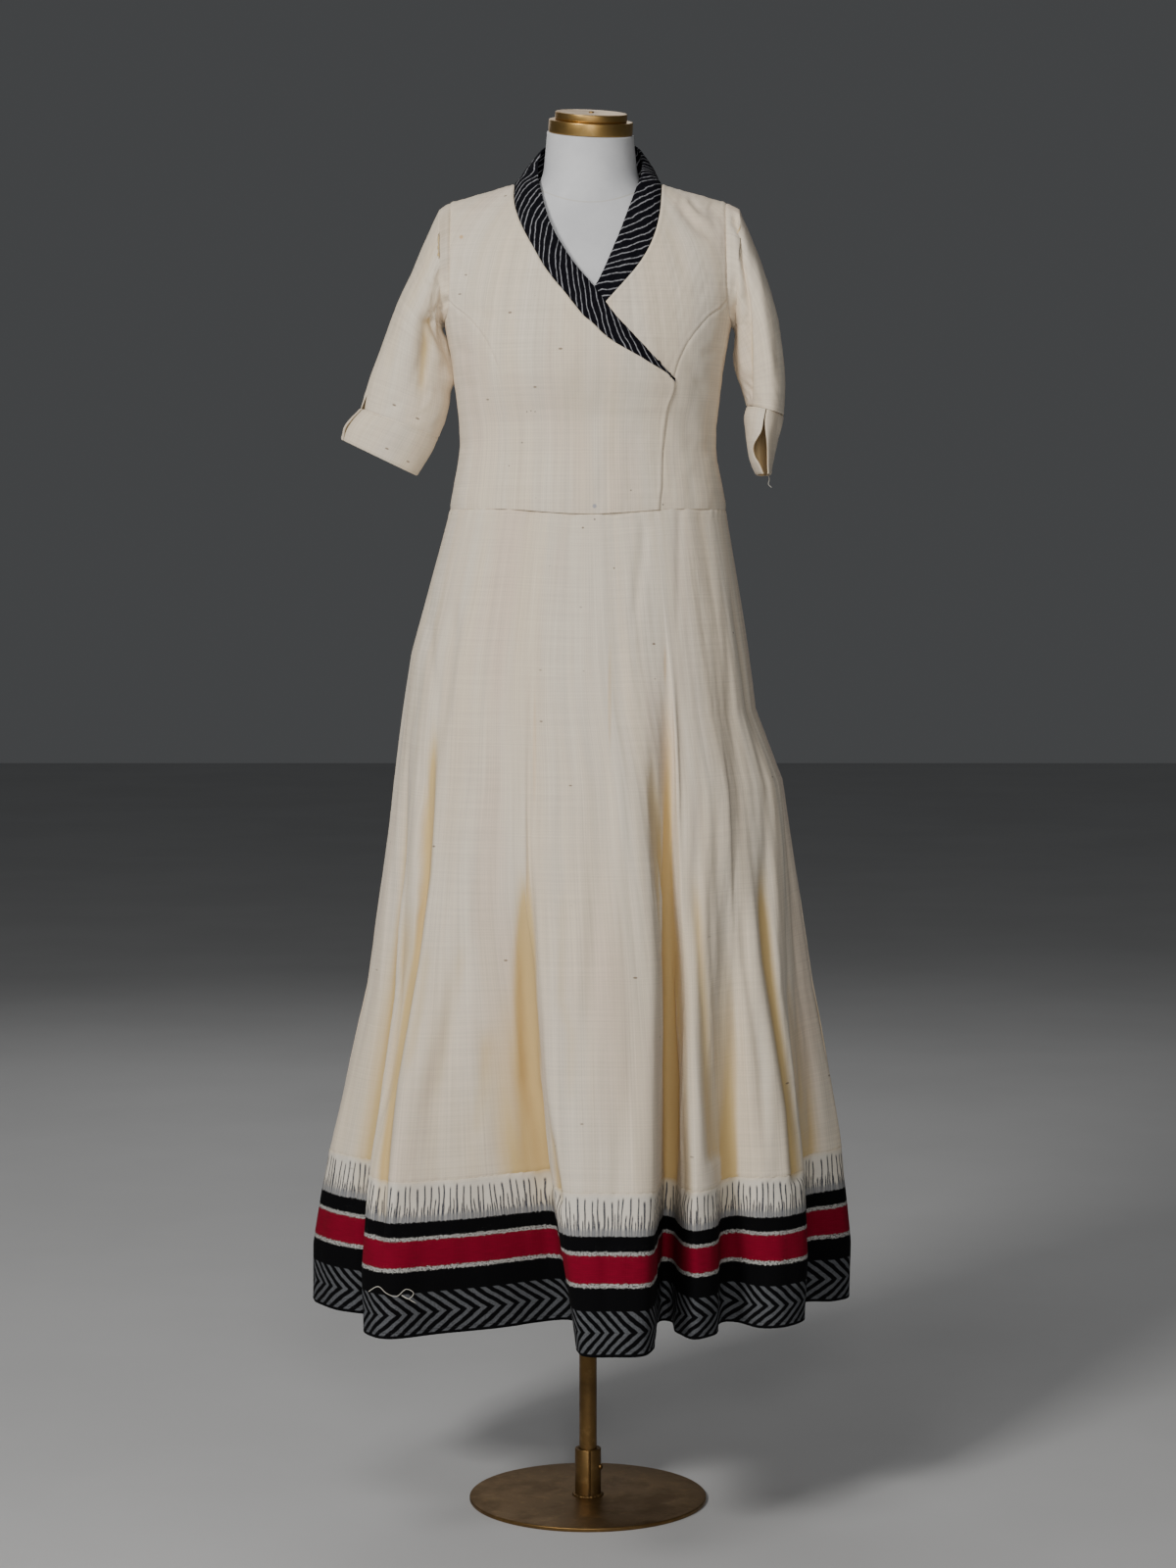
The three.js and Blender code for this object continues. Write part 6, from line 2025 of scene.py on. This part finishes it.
def tube(name: str, path: Sequence[Point], radius: float, steps: int = 6) -> Piece:
    """A closed six-sided thread along a smooth path, in millimetres.

    Args:
        name: The piece's name.
        path: Points that it passes through.
        radius: Its radius.
        steps: Steps between two points.

    Returns:
        The new object.
    """
    sides, tilt, tip = 6, (0.3, 0.2, 1.0), 0.02
    table = Table("x y z", path)
    position = np.linspace(0, table.last, table.last * steps + 1)
    centre = stack(*(table.at(axis, position) for axis in "xyz"))
    forward = unit(np.gradient(centre, axis=0))
    across = unit(np.cross(forward, np.array(tilt)))
    up = np.cross(forward, across)
    turn = np.linspace(0, 2 * math.pi, sides, endpoint=False)
    from_end = np.minimum(np.arange(len(centre)), np.arange(len(centre))[::-1])
    thickness = radius * np.sqrt(np.clip(from_end, tip, 1))
    ring = across[:, None] * np.cos(turn)[None, :, None] + up[:, None] * np.sin(turn)[None, :, None]
    points = (centre[:, None] + ring * thickness[:, None, None]).reshape(-1, 3)
    cap = np.array([[0, 1, 2, 3], [0, 3, 4, 5]])
    faces = [lattice(len(centre), sides), cap[:, ::-1], cap + (len(centre) - 1) * sides]
    return mesh_object(name, points, np.concatenate(faces))


@dataclass(frozen=True)
class LooseThread:
    """An end of thread that hangs off the cloth, pinned to one of its pieces."""

    name: str
    path: tuple[Point, ...]
    radius: float = 0.45

    def build(self, material: Material) -> None:
        """Lays the thread along its path."""
        dress(tube(self.name, self.path, self.radius), material, "cotton")


LOOSE_THREADS = (
    LooseThread("thread_on_band", ((-262, -239, 318), (-250, -241, 325), (-240, -242, 317), (-228, -241, 313),
                                   (-217, -238, 321), (-208, -236, 316), (-214, -237, 309), (-222, -239, 314),
                                   (-205, -234, 303))),
    LooseThread("thread_at_cuff", ((221, -22, 1294), (224, -24, 1288), (223, -24, 1281), (227, -25, 1277)),
                0.35),
)


# ---- dress form and stand


TORSO = Table("z halfWidth front back x y square", [
    (1000, 160, 100, 102, 0, 0, 2.3), (1060, 168, 104, 110, 0, 0, 2.3), (1150, 168, 104, 108, 0, 0, 2.3),
    (1240, 161, 101, 98, 0, 0, 2.3), (1300, 153, 96, 88, 0, 0, 2.3), (1350, 149, 95, 82, 0, 0, 2.3),
    (1385, 151, 103, 85, 0, 0, 2.3), (1415, 154, 110, 89, 0, 0, 2.3), (1450, 156, 108, 94, 0, 0, 2.35),
    (1490, 157, 99, 98, 0, 0, 2.4), (1530, 156, 88, 97, 0, 1, 2.4), (1565, 150, 76, 91, 0, 2, 2.3),
    (1590, 138, 66, 82, 0, 4, 2.2), (1608, 120, 60, 73, 0, 5, 2.1), (1624, 95, 57, 64, 1, 6, 2),
    (1640, 73, 56, 59, 2, 6, 2), (1660, 60, 55, 57, NECK_X, 6, 2), (1685, 56, 54, 55, NECK_X, 5, 2),
    (1713, 53.5, 53.5, 53.5, NECK_X, 3, 2),
])


@dataclass
class DressForm:
    """The limbless form with the two tiers of its neck cap."""

    sides: int = 144
    rows: int = 150
    neck_base: float = 1640.0
    pitch: float = 0.21
    roll: float = 0.047
    tiers: tuple[tuple[str, float, float], ...] = (("neck_cap_lower", 52.0, 15.5),
                                                   ("neck_cap_upper", 44.5, 9.5))
    tier_edge: float = 1.2
    gap: float = 0.3
    filling: tuple[float, float, float] = (0.02, 0.6, 0.97)
    neck_seam: Crease = Crease(((-62, 1646), (-41, 1635), (-20, 1628), (3, 1624), (24, 1626), (42, 1629),
                                (62, 1640)), 1.0, 0.55, fade=(0.05, 0.05))

    def torso(self) -> Piece:
        """The smooth closed shell, from its flat bottom up to the leaning neck plate."""
        position = np.linspace(0, TORSO.last, self.rows)[:, None]
        angle = np.linspace(0, 2 * math.pi, self.sides, endpoint=False)[None, :]
        ring = tuple(TORSO.at(name, position) for name in ("halfWidth", "front", "back", "square"))
        x, y = Cone.oval(angle, ring)
        top = TORSO.columns["z"][-1]
        z = TORSO.at("z", position)
        lean = np.clip((z - self.neck_base) / (top - self.neck_base), 0, 1)
        points = stack(x + TORSO.at("x", position), y + TORSO.at("y", position),
                       z + lean * (y * self.pitch - x * self.roll))
        return self.filled(Grid(points, True).creased([self.neck_seam]).points)

    def filled(self, rings: Array) -> Piece:
        """The shell over the rings, with rings towards the middle of its flat bottom and its top."""
        shares = np.array(self.filling)[:, None, None]
        low = lerp(rings[:1].mean(axis=1, keepdims=True), rings[:1], shares)
        high = lerp(rings[-1:].mean(axis=1, keepdims=True), rings[-1:], shares[::-1])
        return closed_rings("form_torso_shell", np.concatenate([low, rings, high]))

    def build(self, white: Material, brass: Material) -> None:
        """Makes the form and its cap."""
        dress(self.torso(), white, "form", "form_torso")
        place = (Matrix.Translation(Vector((NECK_X, TORSO.columns["y"][-1], TORSO.columns["z"][-1])))
                 @ Matrix.Rotation(math.atan(self.pitch), 4, "X")
                 @ Matrix.Rotation(math.atan(self.roll), 4, "Y"))
        bottom = self.gap
        for node, radius, height in self.tiers:
            profile = Turned.rounded(radius, bottom, bottom + height, self.tier_edge)
            dress(Turned(96).solid(f"{node}_tier", profile, place), brass, "brass", node)
            bottom += height + self.gap
        head = [(r, bottom + z) for r, z in ((0, -0.4), (3.4, -0.4), (3.4, 0.6), (2.6, 1.3), (0, 1.5))]
        dress(Turned(20).solid("neck_cap_screw", head, place), brass, "brass")


@dataclass(frozen=True)
class Turned:
    """Parts turned about an upright axis."""

    sides: int = 64

    @staticmethod
    def rounded(radius: float, bottom: float, top: float, edge: float, steps: int = 4) -> Profile:
        """The profile of a disc whose rims are rounded.

        Args:
            radius: The disc's radius.
            bottom: Its lower height.
            top: Its upper height.
            edge: Radius of the rounding.
            steps: Steps in each rounding.

        Returns:
            Radius and height of each point, from the centre of the underside to the top's.
        """
        turns = np.linspace(0, math.pi / 2, steps + 1)
        low = [(radius - edge + edge * math.sin(a), bottom + edge - edge * math.cos(a)) for a in turns]
        high = [(radius - edge + edge * math.cos(a), top - edge + edge * math.sin(a)) for a in turns]
        middle = radius * 0.6
        return [(0.0, bottom), (middle, bottom), *low, *high, (middle, top), (0.0, top)]

    def solid(self, name: str, profile: Profile, place: Matrix | None = None) -> Piece:
        """A closed turned part.

        Args:
            name: The piece's name.
            profile: Radius and height of each point, in millimetres, starting and ending on the axis.
            place: Where the part's own axis stands, in millimetres.

        Returns:
            The new object.
        """
        tip = 0.05
        rows = np.array([(max(r, tip), z) for r, z in profile])
        turn = np.linspace(0, 2 * math.pi, self.sides, endpoint=False)[None, :]
        rings = stack(rows[:, :1] * np.cos(turn), rows[:, :1] * np.sin(turn), rows[:, 1:])
        if place is not None:
            m = np.array(place)
            rings = rings @ m[:3, :3].T + m[:3, 3]
        return sharpened(closed_rings(name, rings))


def closed_rings(name: str, rings: Array) -> Piece:
    """A closed skin over rings of points from the bottom up, whose first and last ring are filled.

    Args:
        name: The piece's name.
        rings: The points, by ring and by place round it, in millimetres.

    Returns:
        The new object.
    """
    count, sides = rings.shape[:2]
    strip = np.array([[m, m + 1, sides - m - 2, sides - m - 1] for m in range(sides // 2 - 1)])
    faces = np.concatenate([lattice(count, sides), strip[:, ::-1], strip + (count - 1) * sides])
    return mesh_object(name, rings.reshape(-1, 3), faces)


def sharpened(piece: Piece, degrees: float = 35.0) -> Piece:
    """The piece with the edges kept sharp that turn by more than an angle."""
    piece.data.set_sharp_from_angle(angle=math.radians(degrees))
    return piece


@dataclass
class Stand:
    """The pole in its split socket on a round plate."""

    pole_radius: float = 11.0
    pole_edge: float = 0.4
    pole_rings: int = 12
    plate_radius: float = 150.0
    plate_height: float = 5.0
    plate_edge: float = 1.4
    socket_outer: float = 16.5
    socket_height: float = 60.0
    slit: float = 3.0
    slit_angle: float = -1.45
    form_bottom: float = 1000.0
    bead: float = 2.6
    screw_height: float = 0.62  # share of the socket's height
    screw_turn: float = -0.35

    def socket(self) -> Piece:
        """The split tube, its rims rounded a little."""
        inner, outer = self.pole_radius + SEAM_GAP, self.socket_outer
        steps = 72
        bottom = self.plate_height + SEAM_GAP
        top = bottom + self.socket_height
        profile = [(inner, bottom), (outer, bottom), (outer, top - 0.8), (outer - 0.3, top - 0.2),
                   (outer - 1.0, top), (inner + 0.6, top), (inner + 0.15, top - 0.15), (inner, top - 0.6)]
        rings = []
        for r, z in profile:
            half = math.asin(self.slit / 2 / r)
            turn = np.linspace(self.slit_angle + half, self.slit_angle - half + 2 * math.pi, steps)
            rings.append(stack(r * np.cos(turn), r * np.sin(turn), np.array(z)))
        section = np.array(((0, 1, 2, 7), (2, 3, 6, 7), (3, 4, 5, 6))) * steps
        faces = [lattice(len(rings), steps, (True, False)), section[:, ::-1], section + steps - 1]
        points = np.array(rings).reshape(-1, 3)
        return sharpened(mesh_object("pole_socket_tube", points, np.concatenate(faces)))

    def build(self, bronze: Material) -> None:
        """Makes the stand's pieces."""
        disc = Turned.rounded(self.plate_radius, 0, self.plate_height, self.plate_edge)
        dress(Turned(160).solid("base_plate_disc", disc), bronze, "bronze", "base_plate")
        low, high = self.plate_height + SEAM_GAP, self.form_bottom - SEAM_GAP
        wide, edge = self.pole_radius, self.pole_edge
        bar = [(0, low), (wide - edge, low), (wide, low + edge),
               *((wide, z) for z in np.linspace(low + 40, high - 40, self.pole_rings)),
               (wide, high - edge), (wide - edge, high), (0, high)]
        dress(Turned(64).solid("pole_bar", bar), bronze, "bronze", "pole")
        dress(self.socket(), bronze, "bronze", "pole_socket")
        dress(self.weld(), bronze, "bronze")
        dress(self.screw(), bronze, "bronze")

    def weld(self) -> Piece:
        """The uneven weld bead round the socket's foot."""
        around, section = 120, 10
        turn = np.linspace(0, 2 * math.pi, around, endpoint=False)[:, None]
        bend = np.linspace(0, 2 * math.pi, section, endpoint=False)[None, :]
        size = self.bead * (1 + 0.12 * np.sin(23 * turn) + 0.1 * np.sin(9 * turn + 1))
        radius = self.socket_outer + 0.6 + size * np.cos(bend)
        height = np.maximum(self.plate_height + 0.5 + size * 0.8 * np.sin(bend), self.plate_height - 0.2)
        points = stack(radius * np.cos(turn), radius * np.sin(turn), height)
        faces = np.roll(lattice(around, section, (True, True))[:, ::-1], 1, axis=1)
        return mesh_object("socket_weld_bead", points.reshape(-1, 3), faces)

    def screw(self) -> Piece:
        """The clamp screw's round head on the wearer's left of the socket."""
        head = [(r, self.socket_outer + out) for r, out in (
            (0, -1.5), (3.6, -1.5), (3.6, 1.6), (3.0, 2.3), (1.4, 2.3), (1.2, 1.4), (0, 1.4))]
        height = self.plate_height + self.socket_height * self.screw_height
        place = (Matrix.Translation(Vector((0, 0, height))) @ Matrix.Rotation(self.screw_turn, 4, "Z")
                 @ Matrix.Rotation(math.pi / 2, 4, "Y"))
        return Turned(24).solid("socket_screw", head, place)


# ---- studio


@dataclass(frozen=True)
class Lamp:
    """A soft square lamp that looks at a point of the dress."""

    name: str
    place: Point
    target: Point
    size: float
    watts: float
    tint: Colour = (1.0, 1.0, 1.0)

    def build(self) -> None:
        """Hangs the lamp."""
        data = bpy.data.lights.new(self.name, "AREA")
        data.shape, data.size, data.energy, data.color = "SQUARE", self.size, self.watts, self.tint
        lamp = linked(self.name, data)
        lamp.location = self.place
        aim = Vector(self.target) - Vector(self.place)
        lamp.rotation_euler = aim.to_track_quat("-Z", "Y").to_euler()


@dataclass
class Studio:
    """A pale floor, soft light and the camera."""

    distance: float = 4.2
    height: float = 1.196
    pitch: float = 3.92  # degrees down
    sensor: float = 36.0
    lens: float = 77.31
    floor_size: float = 30.0
    floor_colour: Colour = (0.6, 0.6, 0.6)
    floor_shade: float = 0.94
    sky: Colour = (0.62, 0.64, 0.66)
    sky_strength: float = 0.1
    lamps: tuple[Lamp, ...] = (
        Lamp("key", (-2.1, -3.3, 3.0), (0, 0, 1.1), 0.8, 108.0, (1.0, 0.985, 0.96)),
        Lamp("front", (0.15, -4.3, 1.7), (0, 0, 1.0), 0.6, 44.0, (1.0, 0.99, 0.98)),
        Lamp("top", (-1.0, -1.7, 3.7), (0, 0, 1.0), 1.2, 22.0, (1.0, 0.99, 0.98)),
        Lamp("back", (-0.8, 3.4, 3.2), (0, 0, 1.0), 2.4, 26.0),
    )

    def floor(self) -> None:
        """Lays the floor."""
        half = self.floor_size / 2 / MM
        corners = half * np.array([(-1, -1, 0), (1, -1, 0), (1, 1, 0), (-1, 1, 0)], float)
        floor = mesh_object("floor", corners, np.array([[0, 1, 2, 3]]))
        s = Shader("pale_floor")
        cloud = s.rise(s.noise(s.place(), 1.3, 4.0, 0.6), 0.3, 0.7)
        dark = tuple(c * self.floor_shade for c in self.floor_colour)
        colour = s.mix(cloud, self.floor_colour, dark)
        floor.data.materials.append(s.finish(colour, 0.75, s.noise(s.place(), 400.0), 0.0002))

    def world(self) -> None:
        """Sets the soft light all round."""
        world = bpy.data.worlds.new("studio")
        bpy.context.scene.world = world
        world.use_nodes = True
        sky = world.node_tree.nodes["Background"]
        sky.inputs["Color"].default_value = opaque(self.sky)
        sky.inputs["Strength"].default_value = self.sky_strength

    def camera(self) -> None:
        """Places the camera."""
        data = bpy.data.cameras.new("camera")
        data.sensor_width, data.lens, data.sensor_fit = self.sensor, self.lens, "AUTO"
        data.clip_end = 100.0
        camera = linked("camera", data)
        camera.location = (0, -self.distance, self.height)
        camera.rotation_euler = (math.radians(90 - self.pitch), 0, 0)
        bpy.context.scene.camera = camera

    def build(self) -> None:
        """Sets up the whole studio."""
        self.floor()
        self.world()
        self.camera()
        for lamp in self.lamps:
            lamp.build()


# ---- the dress


def main() -> None:
    """Builds the dress, the form, the stand and the studio in order."""
    logging.basicConfig(level=logging.INFO, format="%(message)s")
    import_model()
    cotton = Cotton()
    cloth, striped, band = cotton.material(), StripedCotton().material(), HemBand().material(cotton)
    stitches = Stitches(finishes={
        "cotton": Thread("cream_thread", (0.62, 0.55, 0.42)).material(),
        "border": Thread("black_thread", (0.02, 0.02, 0.022)).material(),
    })
    pale = Thread("pale_thread", (0.6, 0.57, 0.5)).material()
    Studio().build()
    DressForm().build(FormShell().material(), BRASS.material())
    Stand().build(BRONZE.material())
    Bodice().build(cloth)
    Collar().build(striped)
    for sleeve in SLEEVES:
        sleeve.build(cloth, stitches)
    Skirt().build(cloth, band, stitches)
    for thread in LOOSE_THREADS:
        thread.build(pale)


if __name__ == "__main__":
    main()
